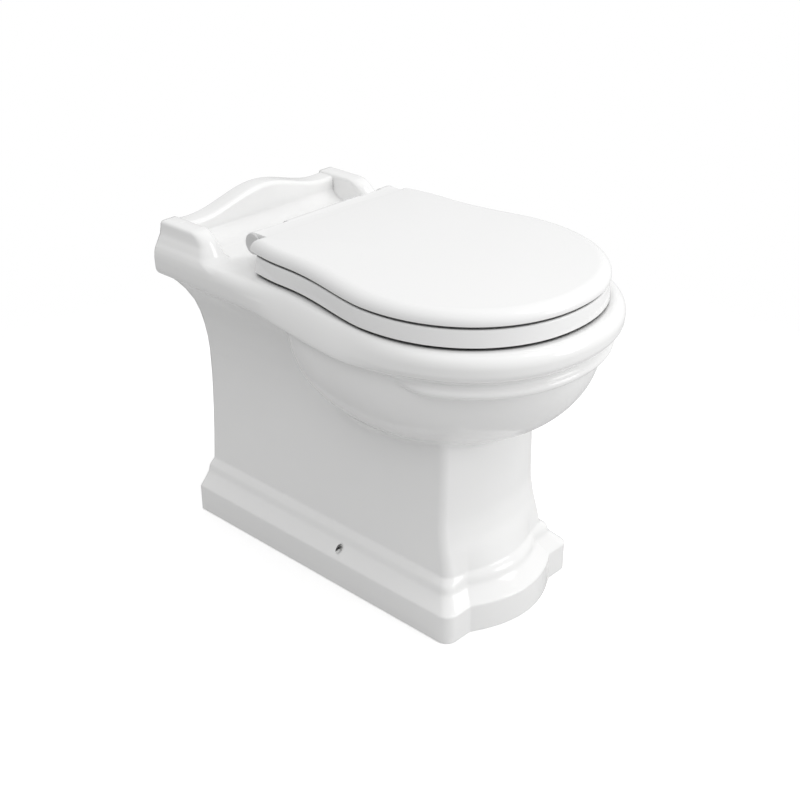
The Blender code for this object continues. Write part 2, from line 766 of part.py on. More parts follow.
def upstand_top(x):
    """The height of the upstand's top line: low at the ends, with a broad hump in the middle."""
    distance = abs(x)
    hump = 1 - ease(distance / UPSTAND_HUMP_HALF_WIDTH)
    end = ease((distance - UPSTAND_HUMP_HALF_WIDTH) / (UPSTAND_HALF_WIDTH - UPSTAND_HUMP_HALF_WIDTH))
    return between(UPSTAND_LOW_HEIGHT, UPSTAND_HEIGHT, hump) + UPSTAND_END_RISE * end


def upstand_form(stations=18):
    """The upstand along the wall, a section swept along X under its curved top line."""
    rings = []
    half = UPSTAND_HALF_WIDTH - ARM_THICKNESS / 2
    for step in range(stations + 1):
        x = between(-half, half, step / stations)
        top = upstand_top(x)
        section = [(0.0, RIM_HEIGHT - DECK_THICKNESS / 2), (0.0, top - UPSTAND_EDGE / 2),
                   (UPSTAND_EDGE / 2, top)]
        for turn in (90, 45, 0):
            reach = UPSTAND_EDGE * (1 - math.cos(math.radians(turn)))
            fall = UPSTAND_EDGE * (1 - math.sin(math.radians(turn)))
            section.append((UPSTAND_THICKNESS - reach, top - fall))
        for turn in (0, 40, 80):
            reach = UPSTAND_FILLET * (1 - math.cos(math.radians(turn)))
            fall = UPSTAND_FILLET * (1 - math.sin(math.radians(turn)))
            section.append((UPSTAND_THICKNESS + reach, RIM_HEIGHT + fall))
        section.append((UPSTAND_THICKNESS + UPSTAND_FILLET, RIM_HEIGHT - DECK_THICKNESS / 2))
        rings.append([Vector((x, at_depth(depth), height)) for depth, height in section])
    return loft(rings)


# Rows of an arm: share of its height above the deck, reach, outer and inner step
ARM_SHARES = (
    (-0.22, 1.00, 1.00, 1.0),
    (0.03, 0.66, 0.78, 0.5),
    (0.17, 0.54, 0.58, 0.25),
    (0.33, 0.46, 0.38, 0.1),
    (0.53, 0.36, 0.13, 0.0),
    (0.74, 0.25, 0.04, 0.0),
    (0.90, 0.13, 0.0, 0.05),
    (0.975, 0.03, -0.12, 0.25),
    (1.00, -0.05, -0.28, 0.45),
)


def arm_form(side):
    """One of the short arms that run forwards from the ends of the upstand and die into the deck."""
    rings = []
    outer_step = DECK_HALF_WIDTH - UPSTAND_HALF_WIDTH
    for height_share, reach_share, outer_share, inner_share in ARM_SHARES:
        height = between(RIM_HEIGHT, ARM_HEIGHT, height_share)
        reach = between(ARM_REACH, ARM_FOOT_REACH, reach_share)
        outer = UPSTAND_HALF_WIDTH + outer_step * min(outer_share, ARM_SIDE_SHARE)
        inner = UPSTAND_HALF_WIDTH - ARM_THICKNESS + (ARM_THICKNESS / 4) * (
            inner_share if height_share > 0.5 else -inner_share)
        middle = (outer + inner) / 2
        half = (outer - inner) / 2
        ring = [(side * outer, 0.0), (side * outer, reach - half)]
        for step in range(1, 6):
            turn = math.pi * step / 6
            ring.append((side * (middle + half * math.cos(turn)), reach - half + half * math.sin(turn)))
        ring += [(side * inner, reach - half), (side * inner, 0.0)]
        rings.append([Vector((x, at_depth(depth), height)) for x, depth in ring])
    return loft(rings)


def make_pan(shop, material):
    pan = shop.part("pan", outer_form(), material)
    shop.join(pan, "belly_body", belly_form())
    shop.join(pan, "upstand_body", upstand_form())
    for side, label in ((-1, "left"), (1, "right")):
        shop.join(pan, "arm_body_" + label, arm_form(side))
    shop.cut(pan, "column_hollow", column_hollow_form())
    shop.cut(pan, "deck_hollow", deck_hollow_form())
    shop.join(pan, "sump_shell", sump_shell_form())
    shop.join(pan, "trap_shell", tube(trap_path(), TRAP_RADIUS + TRAP_WALL))
    inlet_depth = DECK_HOLLOW_DEPTH + WALL
    inlet = cylinder(INLET_RADIUS + INLET_WALL, inlet_depth - WALL / 2)
    inlet.transform(Matrix.Rotation(math.pi / 2, 4, "X"))
    shop.join(pan, "inlet_shell", upright(inlet, 0, (inlet_depth + WALL / 2) / 2, INLET_HEIGHT))
    web = box((-WALL / 2, WALL / 2, INLET_HEIGHT + INLET_RADIUS + INLET_WALL / 3),
              (WALL / 2, inlet_depth, RIM_HEIGHT - DECK_THICKNESS / 2))
    shop.join(pan, "inlet_web", web)
    shop.cut(pan, "bowl_hollow", bowl_form())
    shop.cut(pan, "trap_bore", tube(trap_path(OVERRUN + TRAP_WALL), TRAP_RADIUS))
    reach = BOWL_BACK_DEPTH + OVERRUN
    bore = cylinder(INLET_RADIUS, reach)
    bore.transform(Matrix.Rotation(math.pi / 2, 4, "X"))
    shop.cut(pan, "inlet_bore", upright(bore, 0, reach / 2 - OVERRUN, INLET_HEIGHT))
    for side, label in ((-1, "left"), (1, "right")):
        hole = cylinder(STUD_HOLE_RADIUS, 2 * DECK_THICKNESS, TUBE_SIDES)
        shop.cut(pan, "stud_hole_" + label, upright(hole, side * HINGE_X, HINGE_DEPTH, RIM_HEIGHT))
        hole = cylinder(FIXING_HOLE_RADIUS, 2 * PLINTH_WALL, TUBE_SIDES)
        shop.cut(pan, "fixing_hole_" + label,
                 along_x(hole, side * (PLINTH_HALF_WIDTH - PLINTH_WALL / 2), FIXING_DEPTH, FIXING_HEIGHT))
    return pan


# Seat and lid

SEAT_HUB_DEPTH = (SEAT_FRONT_DEPTH + SEAT_BACK_DEPTH) / 2
# Corners of the seat and the lid in plan, as shares of the half turn from the back to the front;
# they are closest at the rounded back corner.
SEAT_STATION_SHARES = (0.0, 0.07, 0.125, 0.165, 0.187, 0.200, 0.213, 0.228, 0.26, 0.305, 0.35, 0.395,
                       0.44, 0.49, 0.54, 0.59, 0.64, 0.69, 0.74, 0.79, 0.84, 0.89, 0.945, 1.0)


def seat_outline(back_depth, back_half_width, corner, steps=14):
    """The outline that the seat and the lid share: a straight back, a waist and a round front."""
    points = [(0.0, back_depth), (back_half_width - corner, back_depth)]
    start = back_depth + corner
    side = SEAT_WAIST_HALF_WIDTH - SEAT_BACK_NARROWING * ((SEAT_WAIST_DEPTH - start) / SEAT_BACK_RUN) ** 2
    for step in range(1, 6):
        turn = math.pi / 2 * step / 6
        points.append((between(side, back_half_width - corner, 1 - math.sin(turn)),
                       back_depth + corner * (1 - math.cos(turn))))
    for step in range(steps):
        depth = between(start, SEAT_WIDEST_DEPTH, step / steps)
        if depth < SEAT_WAIST_DEPTH:
            x = SEAT_WAIST_HALF_WIDTH - SEAT_BACK_NARROWING * (
                (SEAT_WAIST_DEPTH - depth) / SEAT_BACK_RUN) ** 2
        else:
            back_share = (SEAT_WIDEST_DEPTH - depth) / (SEAT_WIDEST_DEPTH - SEAT_WAIST_DEPTH)
            x = between(SEAT_HALF_WIDTH, SEAT_WAIST_HALF_WIDTH, ease(back_share ** 0.85))
        points.append((x, depth))
    front = oval_quarter(SEAT_HALF_WIDTH, SEAT_WIDEST_DEPTH, SEAT_FRONT_DEPTH - SEAT_WIDEST_DEPTH,
                         RIM_ROUNDNESS, steps)
    return points + front


def hub_ring(outline, inset, height):
    """A closed ring of points on an outline, moved towards the hub by an inset."""
    angles = [math.pi * share for share in SEAT_STATION_SHARES]
    half = []
    for turn, reach in zip(angles, radii(outline, angles, SEAT_HUB_DEPTH)):
        reach -= inset
        half.append((reach * math.sin(turn), SEAT_HUB_DEPTH - reach * math.cos(turn)))
    half[0] = (0.0, half[0][1])
    half[-1] = (0.0, half[-1][1])
    ring = [Vector((x, at_depth(depth), height)) for x, depth in half]
    return ring + [Vector((-x, at_depth(depth), height)) for x, depth in reversed(half[1:-1])]


# Share of the thickness and of the edge's radius at which the seat's and the lid's edges turn
SEAT_EDGE_SHARES = ((0.0, 0.15), (0.06, 0.0), (0.72, 0.0), (0.90, 0.30), (1.0, 1.0))
LID_EDGE_SHARES = ((0.0, 0.18), (0.10, 0.0), (0.46, 0.0), (0.70, 0.13), (0.88, 0.50), (1.0, 1.5))


def seat_form():
    """The seat ring: an outer and an inner edge with a flat top and underside between them."""
    outer = seat_outline(SEAT_BACK_DEPTH, SEAT_WAIST_HALF_WIDTH - SEAT_BACK_NARROWING / 2, SEAT_CORNER)
    hole_middle = (SEAT_HOLE_FRONT_DEPTH + SEAT_HOLE_BACK_DEPTH) / 2
    reach = (SEAT_HOLE_FRONT_DEPTH - SEAT_HOLE_BACK_DEPTH) / 2
    ahead = oval_quarter(SEAT_HOLE_HALF_WIDTH, hole_middle, reach, BOWL_ROUNDNESS, 14)
    hole = [(x, 2 * hole_middle - depth) for x, depth in reversed(ahead)] + ahead[1:]
    rings = []
    for rise, inset in SEAT_EDGE_SHARES:
        rings.append(hub_ring(outer, SEAT_EDGE * inset, SEAT_BOTTOM + SEAT_THICKNESS * rise))
    for rise, inset in reversed(SEAT_EDGE_SHARES):
        rings.append(hub_ring(hole, -SEAT_EDGE * inset * 1.4, SEAT_BOTTOM + SEAT_THICKNESS * rise))
    return loft(rings + rings[:1], caps=False)


def lid_form():
    """The lid's panel, hollowed below inside a flat band and slightly crowned above."""
    outline = seat_outline(LID_BACK_DEPTH, SEAT_WAIST_HALF_WIDTH - SEAT_BACK_NARROWING / 2,
                           SEAT_CORNER / 2)
    rings = [hub_ring(outline, LID_BAND * 1.2, LID_BOTTOM + LID_RECESS),
             hub_ring(outline, LID_BAND, LID_BOTTOM)]
    for rise, inset in LID_EDGE_SHARES:
        rings.append(hub_ring(outline, LID_EDGE * inset * 0.8, LID_BOTTOM + LID_THICKNESS * rise))
    rings.append(hub_ring(outline, LID_EDGE * 5, LID_TOP + LID_CROWN * 0.55))
    rings.append(hub_ring(outline, LID_EDGE * 10, LID_TOP + LID_CROWN * 0.9))
    return loft(rings)


def hinge_barrel(radius, start, end, sides=ROUND_SIDES):
    """A cylinder on the hinge's axis between two places across."""
    return along_x(cylinder(radius, abs(end - start), sides), (start + end) / 2, HINGE_DEPTH, HINGE_HEIGHT)


def hinge_axis():
    return Vector((0, at_depth(HINGE_DEPTH), HINGE_HEIGHT))


def hinge_places(side):
    """Where the lid's roll, the post, the seat's knuckle, the lid's lug and the cap begin and end."""
    roll = HINGE_X - POST_WIDTH / 2 - HINGE_GAP
    post = (roll + HINGE_GAP, roll + HINGE_GAP + POST_WIDTH)
    knuckle = (post[1] + HINGE_GAP, post[1] + HINGE_GAP + KNUCKLE_WIDTH)
    lug = (knuckle[1] + HINGE_GAP, knuckle[1] + HINGE_GAP + LUG_WIDTH)
    cap = (lug[1] + GAP, lug[1] + GAP + CAP_LENGTH)
    places = {"roll": (0.0, roll), "post": post, "knuckle": knuckle, "lug": lug, "cap": cap}
    return {name: (side * start, side * end) for name, (start, end) in places.items()}


SIDES = ((-1, "left"), (1, "right"))


def make_seat(shop, material):
    seat = shop.part("seat", seat_form(), material, hinge_axis())
    arm_bottom = RIM_HEIGHT + 2 * GAP + GASKET_HEIGHT + POST_FLANGE_HEIGHT + 2 * HINGE_GAP
    for side, label in SIDES:
        start, end = hinge_places(side)["knuckle"]
        shop.join(seat, "seat_arm_" + label,
                  box((start, HINGE_DEPTH, arm_bottom),
                      (end, SEAT_BACK_DEPTH + SEAT_CORNER, SEAT_TOP - 2 * HINGE_GAP)))
        shop.join(seat, "seat_knuckle_" + label, hinge_barrel(SLEEVE_RADIUS, start, end))
        shop.cut(seat, "seat_bore_" + label,
                 hinge_barrel(PIN_RADIUS + PIN_PLAY, start - side * OVERRUN, end + side * OVERRUN, TUBE_SIDES))
    return seat


def make_lid(shop, material):
    """The lid's panel, and at its back a roll, two lugs and a thin hood over the sleeves."""
    lid = shop.part("lid", lid_form(), material, hinge_axis())
    roll = hinge_places(1)["roll"][1]
    lug_start, lug_end = hinge_places(1)["lug"]
    inside = HINGE_DEPTH + HINGE_RADIUS + LID_BAND
    hood = lug_end - EDGE
    shop.join(lid, "lid_hood",
              box((-hood, HINGE_DEPTH + HOOD_END, HINGE_HEIGHT + SLEEVE_RADIUS + LID_HINGE_CLEARANCE),
                  (hood, inside, LID_TOP - GAP / 3)))
    webs = ((-roll + EDGE, roll - EDGE, "roll_web"),
            (lug_start + EDGE, lug_end - 2 * EDGE, "lug_web_right"),
            (2 * EDGE - lug_end, -lug_start - EDGE, "lug_web_left"))
    for start, end, name in webs:
        shop.join(lid, name, box((start, HINGE_DEPTH + EDGE, LID_BOTTOM + HINGE_GAP),
                                 (end, inside - EDGE, LID_TOP - 2 * GAP)))
    shop.join(lid, "lid_roll", hinge_barrel(HINGE_RADIUS, -roll, roll))
    for side, label in SIDES:
        start, end = hinge_places(side)["lug"]
        shop.join(lid, "lid_lug_" + label, hinge_barrel(HINGE_RADIUS, start, end))
        shop.cut(lid, "lid_bore_" + label,
                 hinge_barrel(PIN_RADIUS + PIN_PLAY, side * (roll - POST_WIDTH / 2 + GAP),
                              end + side * OVERRUN, TUBE_SIDES))
    return lid


# Hinge fittings

def ring_form(radius, bore, bottom, top, sides=ROUND_SIDES):
    """A flat ring with slightly eased outer edges."""
    ease_step = (top - bottom) / 5
    return turned(((bore, top), (radius - ease_step, top), (radius, top - ease_step),
                   (radius, bottom + ease_step), (radius - ease_step, bottom), (bore, bottom)), sides)


def make_hinge_fittings(shop, plastic, cap_grey, rubber, metal, nylon):
    gasket_bottom = RIM_HEIGHT + GAP
    flange_bottom = gasket_bottom + GASKET_HEIGHT + GAP
    flange_top = flange_bottom + POST_FLANGE_HEIGHT
    deck_bottom = RIM_HEIGHT - DECK_THICKNESS
    stud_clear = STUD_RADIUS + PIN_PLAY
    for side, label in SIDES:
        x = side * HINGE_X
        places = hinge_places(side)
        shop.part("hinge_gasket_" + label,
                  upright(ring_form(POST_FLANGE_RADIUS - GAP, STUD_HOLE_RADIUS, gasket_bottom,
                                    gasket_bottom + GASKET_HEIGHT, TUBE_SIDES), x, HINGE_DEPTH, 0), rubber)
        bevel = POST_FLANGE_HEIGHT / 3
        flange = turned(((0, flange_top), (POST_FLANGE_RADIUS - 2 * bevel, flange_top),
                         (POST_FLANGE_RADIUS - bevel / 2, flange_top - bevel / 2),
                         (POST_FLANGE_RADIUS, flange_top - 2 * bevel),
                         (POST_FLANGE_RADIUS, flange_bottom), (0, flange_bottom)))
        post = shop.part("hinge_post_" + label,
                         upright(flange, x, HINGE_DEPTH, 0), plastic)
        shop.join(post, "post_stem_" + label,
                  box((x - POST_WIDTH / 2, HINGE_DEPTH - POST_STEM / 2, flange_bottom + EDGE),
                      (x + POST_WIDTH / 2, HINGE_DEPTH + POST_STEM / 2,
                       HINGE_HEIGHT - HINGE_RADIUS - 2 * HINGE_GAP)))
        shop.join(post, "post_neck_" + label,
                  box((x - POST_WIDTH / 2, HINGE_DEPTH - POST_NECK / 2, flange_top),
                      (x + POST_WIDTH / 2, HINGE_DEPTH + POST_NECK / 2, HINGE_HEIGHT)))
        start, end = places["post"]
        shop.join(post, "post_sleeve_" + label, hinge_barrel(SLEEVE_RADIUS, start, end))
        shop.cut(post, "post_bore_" + label,
                 hinge_barrel(PIN_RADIUS + PIN_PLAY, start - side * OVERRUN, end + side * OVERRUN, TUBE_SIDES))
        stud_top = flange_bottom + STUD_GRIP
        hole_bottom = flange_bottom - OVERRUN
        hole = cylinder(stud_clear, stud_top + GAP - hole_bottom, TUBE_SIDES)
        shop.cut(post, "post_stud_hole_" + label,
                 upright(hole, x, HINGE_DEPTH, (stud_top + GAP + hole_bottom) / 2))
        pin_start = side * (hinge_places(1)["roll"][1] - POST_WIDTH / 2 + 2 * GAP)
        pin_end = places["cap"][0] - side * GAP
        shop.part("hinge_pin_" + label, hinge_barrel(PIN_RADIUS, pin_start, pin_end, TUBE_SIDES), metal)
        start, end = places["cap"]
        dome = CAP_LENGTH
        rim = HINGE_RADIUS - GAP
        cap = turned([(rim * across, dome * along) for across, along in CAP_SHARES])
        cap.transform(Matrix.Rotation(side * math.pi / 2, 4, "Y"))
        shop.part("hinge_end_cap_" + label, upright(cap, start, HINGE_DEPTH, HINGE_HEIGHT), cap_grey)
        shop.part("hinge_stud_" + label,
                  upright(cylinder(STUD_RADIUS, STUD_LENGTH, TUBE_SIDES), x, HINGE_DEPTH,
                          stud_top - STUD_LENGTH / 2), metal)
        washer_top = deck_bottom - GAP
        shop.part("stud_washer_" + label,
                  upright(ring_form(WASHER_RADIUS, stud_clear, washer_top - WASHER_HEIGHT, washer_top,
                                    TUBE_SIDES), x, HINGE_DEPTH, 0), rubber)
        nut_top = washer_top - WASHER_HEIGHT - GAP
        nut = shop.part("wing_nut_" + label,
                        upright(turned(((stud_clear, nut_top), (NUT_RADIUS, nut_top),
                                        (NUT_RADIUS * 0.8, nut_top - NUT_HEIGHT),
                                        (stud_clear, nut_top - NUT_HEIGHT)), TUBE_SIDES),
                                x, HINGE_DEPTH, 0), nylon)
        for way in (-1, 1):
            wing = box((x + way * (NUT_RADIUS * 0.7), HINGE_DEPTH - WING_THICKNESS / 2,
                        nut_top - NUT_HEIGHT * 1.3),
                       (x + way * WING_SPAN / 2, HINGE_DEPTH + WING_THICKNESS / 2,
                        nut_top - NUT_HEIGHT * 0.35))
            shop.join(nut, "wing_%s_%s" % (label, "inner" if way * side < 0 else "outer"), wing)


# Buffers and the floor fixing

def pad_form(length, width, bottom, top):
    """A round-ended pad."""
    half = []
    for step in range(9):
        turn = math.pi * step / 8
        half.append((width / 2 * math.cos(turn), (length - width) / 2 + width / 2 * math.sin(turn)))
    return plate(half + [(-x, -y) for x, y in half], bottom, top)


def make_buffers(shop, rubber):
    outline = seat_outline(SEAT_BACK_DEPTH, SEAT_WAIST_HALF_WIDTH - SEAT_BACK_NARROWING / 2, SEAT_CORNER)
    depths = [depth for _, depth in outline[3:]]
    widths = [x for x, _ in outline[3:]]
    for side, label in SIDES:
        for depth, place in zip(SEAT_BUFFER_DEPTHS, ("rear", "front")):
            x = float(numpy.interp(depth, depths, widths)) - SEAT_BUFFER_LENGTH - SEAT_EDGE
            pad = pad_form(SEAT_BUFFER_LENGTH, SEAT_BUFFER_WIDTH, RIM_HEIGHT + GAP, SEAT_BOTTOM - GAP)
            shop.part("seat_buffer_%s_%s" % (label, place), upright(pad, side * x, depth, 0), rubber,
                      hinge_axis())
        for depth, place in zip(LID_BUFFER_DEPTHS, ("rear", "front")):
            x = float(numpy.interp(depth, depths, widths)) - LID_BAND * 1.2 - 2.6 * LID_BUFFER_RADIUS
            bottom = SEAT_TOP + GAP
            top = LID_BOTTOM + LID_RECESS - GAP
            stub = turned(((0, top), (LID_BUFFER_RADIUS, top),
                           (LID_BUFFER_RADIUS, between(top, bottom, 0.6)),
                           (LID_BUFFER_RADIUS * 0.7, bottom), (0, bottom)), TUBE_SIDES)
            shop.part("lid_buffer_%s_%s" % (label, place), upright(stub, side * x, depth, 0), rubber,
                      hinge_axis())


def make_floor_fixing(shop, metal):
    wall_x = PLINTH_HALF_WIDTH - PLINTH_WALL
    for side, label in SIDES:
        leg_x = wall_x - GAP
        low = FIXING_DEPTH - BRACKET_LENGTH / 2
        high = FIXING_DEPTH + BRACKET_LENGTH / 2
        bracket = shop.part("floor_bracket_" + label,
                            box((side * (leg_x - BRACKET_THICKNESS), low, 0),
                                (side * leg_x, high, BRACKET_HEIGHT)), metal)
        shop.join(bracket, "bracket_foot_" + label,
                  box((side * (leg_x - BRACKET_FOOT), low, 0),
                      (side * (leg_x - BRACKET_THICKNESS / 2), high, BRACKET_THICKNESS)))
        hole = cylinder(BRACKET_HOLE_RADIUS, OVERRUN, TUBE_SIDES)
        shop.cut(bracket, "bracket_hole_" + label,
                 along_x(hole, side * (leg_x - BRACKET_THICKNESS / 2), FIXING_DEPTH, FIXING_HEIGHT))
        for way, place in ((-1, "rear"), (1, "front")):
            hole = cylinder(BRACKET_SLOT_RADIUS, OVERRUN, TUBE_SIDES)
            shop.cut(bracket, "bracket_slot_%s_%s" % (label, place),
                     upright(hole, side * (leg_x - BRACKET_FOOT / 2), FIXING_DEPTH + way * BRACKET_LENGTH / 4,
                             BRACKET_THICKNESS / 2))
        inset, _ = pedestal_inset(FIXING_HEIGHT)
        head_x = PLINTH_HALF_WIDTH - inset - SCREW_HEAD_LENGTH
        tip_x = leg_x - 2.5 * BRACKET_THICKNESS
        screw = turned(((0, head_x), (SCREW_HEAD_RADIUS * 0.8, head_x),
                        (SCREW_HEAD_RADIUS, head_x - SCREW_HEAD_LENGTH / 4),
                        (SCREW_HEAD_RADIUS, head_x - SCREW_HEAD_LENGTH),
                        (SCREW_RADIUS, head_x - SCREW_HEAD_LENGTH), (SCREW_RADIUS, tip_x), (0, tip_x)),
                       TUBE_SIDES)
        screw.transform(Matrix.Rotation(side * math.pi / 2, 4, "Y"))
        shop.part("side_screw_" + label, upright(screw, 0, FIXING_DEPTH, FIXING_HEIGHT), metal)


if __name__ == "__main__":
    for item in list(bpy.data.objects):
        bpy.data.objects.remove(item)
    shop = Workshop()
    china = make_material("white_china", WHITE_CHINA, 0.08)
    plastic = make_material("white_plastic", WHITE_PLASTIC, 0.15)
    cap_grey = make_material("grey_cap_plastic", CAP_GREY, 0.4)
    pale_rubber = make_material("pale_rubber", PALE_RUBBER, 0.7)
    dark_rubber = make_material("dark_rubber", DARK_RUBBER, 0.7)
    metal = make_material("plated_steel", BRIGHT_METAL, 0.3, 1.0)
    nylon = make_material("nylon", NYLON_GREY, 0.5)
    make_pan(shop, china)
    make_seat(shop, plastic)
    make_lid(shop, plastic)
    make_hinge_fittings(shop, plastic, cap_grey, dark_rubber, metal, nylon)
    make_buffers(shop, pale_rubber)
    make_floor_fixing(shop, metal)
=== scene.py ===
"""The looks of a back-to-wall toilet with a hinged seat and lid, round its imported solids."""
import json
import math

import bmesh
import bpy
import numpy as np
from mathutils import Matrix, Vector


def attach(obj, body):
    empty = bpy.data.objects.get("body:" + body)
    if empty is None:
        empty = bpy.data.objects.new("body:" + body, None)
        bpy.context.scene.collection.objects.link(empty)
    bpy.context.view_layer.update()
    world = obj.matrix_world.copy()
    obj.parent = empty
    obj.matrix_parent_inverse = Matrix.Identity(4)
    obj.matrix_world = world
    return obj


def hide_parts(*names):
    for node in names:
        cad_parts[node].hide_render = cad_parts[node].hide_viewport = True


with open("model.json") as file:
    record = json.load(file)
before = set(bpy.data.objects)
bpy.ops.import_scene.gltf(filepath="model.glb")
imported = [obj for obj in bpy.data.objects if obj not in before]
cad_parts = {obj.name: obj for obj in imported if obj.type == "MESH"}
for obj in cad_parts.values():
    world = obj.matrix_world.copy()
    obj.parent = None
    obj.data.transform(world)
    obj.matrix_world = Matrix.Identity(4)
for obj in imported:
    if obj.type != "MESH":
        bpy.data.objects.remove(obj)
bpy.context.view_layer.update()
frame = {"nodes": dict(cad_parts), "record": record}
nodes = frame["nodes"]

# Sizes of the pan, in metres. Depths are counted from the wall.
PAN_DEPTH = 0.596
WALL_Y = PAN_DEPTH / 2
HUB_DEPTH = PAN_DEPTH / 2
RIM_HEIGHT = 0.4325
RIM_HALF_WIDTH = 0.1944
RIM_WIDEST_DEPTH = 0.391
RIM_ROUNDNESS = 2.12
RIM_ROLL_HEIGHT = 0.417
DECK_HALF_WIDTH = 0.175
DECK_STRAIGHT_DEPTH = 0.165
BELLY_TOP_HEIGHT = 0.385
BELLY_HALF_WIDTH = 0.180
BELLY_CENTRE_DEPTH = 0.345
BELLY_FRONT = 0.2345
BELLY_BACK = 0.150
BELLY_DROP = 0.155
BELLY_CLOSE = 0.024
PLINTH_HALF_WIDTH = 0.1276
PLINTH_FRONT_DEPTH = 0.491
PLINTH_HEIGHT = 0.0405
MOULDING_HEIGHT = 0.0767
PLINTH_CORNER = 0.016
COLUMN_CORNER = 0.008
BOW_HALF_WIDTH = 0.083
BOW_RISE = 0.026
COLUMN_BOW_SHARE = 0.73
BLOCK_END_SHARE = 0.3
COLUMN_INSET = 0.0355
COLUMN_FRONT_INSET = 0.044
FLARE_FOOT_HEIGHT = 0.2517
ROLL_DEPTH = 0.032
ROLL_INSET = 0.018
TOP_EDGE_INSET = 0.0135
BOWL_HALF_WIDTH = 0.122
BOWL_FRONT_DEPTH = 0.536
BOWL_BACK_DEPTH = 0.217
BOWL_ROUNDNESS = 2.2
RIM_LIP_DROP = 0.036
RIM_CHANNEL = 0.038
RIM_CHANNEL_FRONT = 0.0285
SUMP_FLOOR_HEIGHT = 0.150
UPSTAND_HALF_WIDTH = 0.160
UPSTAND_THICKNESS = 0.030
UPSTAND_LOW_HEIGHT = 0.463
UPSTAND_HEIGHT = 0.485
UPSTAND_END_RISE = 0.003
UPSTAND_HUMP_HALF_WIDTH = 0.117
UPSTAND_EDGE = 0.006
UPSTAND_FILLET = 0.016
UPSTAND_FILLET_RUN = 0.034
ARM_THICKNESS = 0.028
ARM_REACH = 0.070
ARM_FOOT_REACH = 0.135
ARM_HEIGHT = 0.466
ARM_COVER = 0.0045

# Sizes of the seat, the lid and the hinge
SEAT_HALF_WIDTH = 0.1764
SEAT_FRONT_DEPTH = 0.575
SEAT_WIDEST_DEPTH = 0.391
SEAT_WAIST_DEPTH = 0.229
SEAT_WAIST_HALF_WIDTH = 0.153
SEAT_BACK_DEPTH = 0.1668
SEAT_BACK_NARROWING = 0.014
SEAT_BACK_RUN = 0.084
SEAT_CORNER = 0.010
SEAT_BOTTOM = RIM_HEIGHT + 0.0035
SEAT_THICKNESS = 0.022
SEAT_EDGE = 0.003
SEAT_LEAN = 0.0018
SEAT_HOLE_HALF_WIDTH = 0.108
SEAT_HOLE_FRONT_DEPTH = 0.503
SEAT_HOLE_BACK_DEPTH = 0.228
SEAT_TOP = SEAT_BOTTOM + SEAT_THICKNESS
LID_BOTTOM = SEAT_TOP + 0.004
LID_THICKNESS = 0.0165
LID_TOP = LID_BOTTOM + LID_THICKNESS
LID_ROUND = 0.018
LID_CROWN = 0.0018
LID_BAND = 0.015
LID_RECESS = 0.0055
SEAT_HUB_DEPTH = (SEAT_FRONT_DEPTH + SEAT_BACK_DEPTH) / 2
HINGE_DEPTH = 0.150
HINGE_X = 0.0775
HINGE_HEIGHT = RIM_HEIGHT + 0.031
HINGE_RADIUS = 0.0150
SLEEVE_RADIUS = 0.0108
HINGE_GAP = 0.0008
POST_WIDTH = 0.020
KNUCKLE_WIDTH = 0.020
LUG_WIDTH = 0.0172
LID_HINGE_CLEARANCE = 0.0012
LID_BACK_DEPTH = 0.1605
CAP_LENGTH = 0.0035
FIXING_DEPTH = 0.283
FIXING_HEIGHT = 0.051
FIXING_HOLE_RADIUS = 0.0052

# Tables of (share of the height, of the inset at the side, of the inset in front), going up: the
# moulding over the plinth, then the column over the moulding
MOULDING = np.array((
    (0.00, 0.00, 0.00), (0.04, 0.04, 0.04), (0.24, 0.24, 0.19), (0.39, 0.38, 0.30),
    (0.52, 0.48, 0.38), (0.77, 0.56, 0.45), (1.00, 0.83, 0.61)))
COLUMN = np.array((
    (0.0, 0.83, 0.61), (0.08, 0.88, 0.77), (0.15, 0.92, 0.91), (0.25, 0.97, 1.00),
    (0.50, 1.03, 1.00), (0.62, 1.00, 1.00), (1.00, 0.98, 0.98)))
# The flare under the deck: share of the way down, share of the way in to the column's side
FLARE = np.array((
    (0.00, 0.00), (0.08, 0.008), (0.12, 0.035), (0.145, 0.09), (0.165, 0.16), (0.20, 0.275),
    (0.245, 0.375), (0.29, 0.47), (0.385, 0.625), (0.475, 0.74), (0.55, 0.81), (0.645, 0.88),
    (0.75, 0.93), (0.87, 0.975), (1.00, 1.00)))
# How far the rim's side lies inside its widest line at a drop below the deck, in metres
SIDE_EDGE = np.array((
    (0.0, 0.0185), (0.0012, 0.0160), (0.0040, 0.0130), (0.0080, 0.0101), (0.0130, 0.0073),
    (0.0190, 0.0046), (0.0250, 0.0024), (0.0310, 0.0008), (0.0360, 0.0001), (0.0385, 0.0005),
    (0.0400, 0.0020), (0.0415, 0.0060), (0.0430, 0.0120), (0.0445, 0.0200), (0.0465, 0.0320),
    (0.0500, 0.0500), (0.0600, 0.0900)))
# The rim's front, with its roll, cove and bead: drop and inset as shares of ROLL_DEPTH and ROLL_INSET
FRONT_ROLL = np.array((
    (0.0, 0.0), (0.28, 0.04), (0.53, 0.33), (0.69, 0.72), (0.84, 0.94), (1.0, 0.86),
    (1.09, 0.69), (1.19, 0.64), (1.28, 0.69), (1.37, 0.83)))
# The flushing rim's lip and the channel behind it: share of the lip's drop, share of the channel
LIP = ((0.30, 0.0), (0.60, 0.0), (0.90, 0.0), (0.96, 0.02), (0.99, 0.06), (1.0, 0.10), (1.0, 0.20),
       (0.98, 0.24), (0.90, 0.25), (0.55, 0.26), (0.46, 0.32), (0.42, 0.42), (0.42, 0.80),
       (0.46, 0.92), (0.55, 1.0), (0.8, 1.0), (1.0, 1.0))
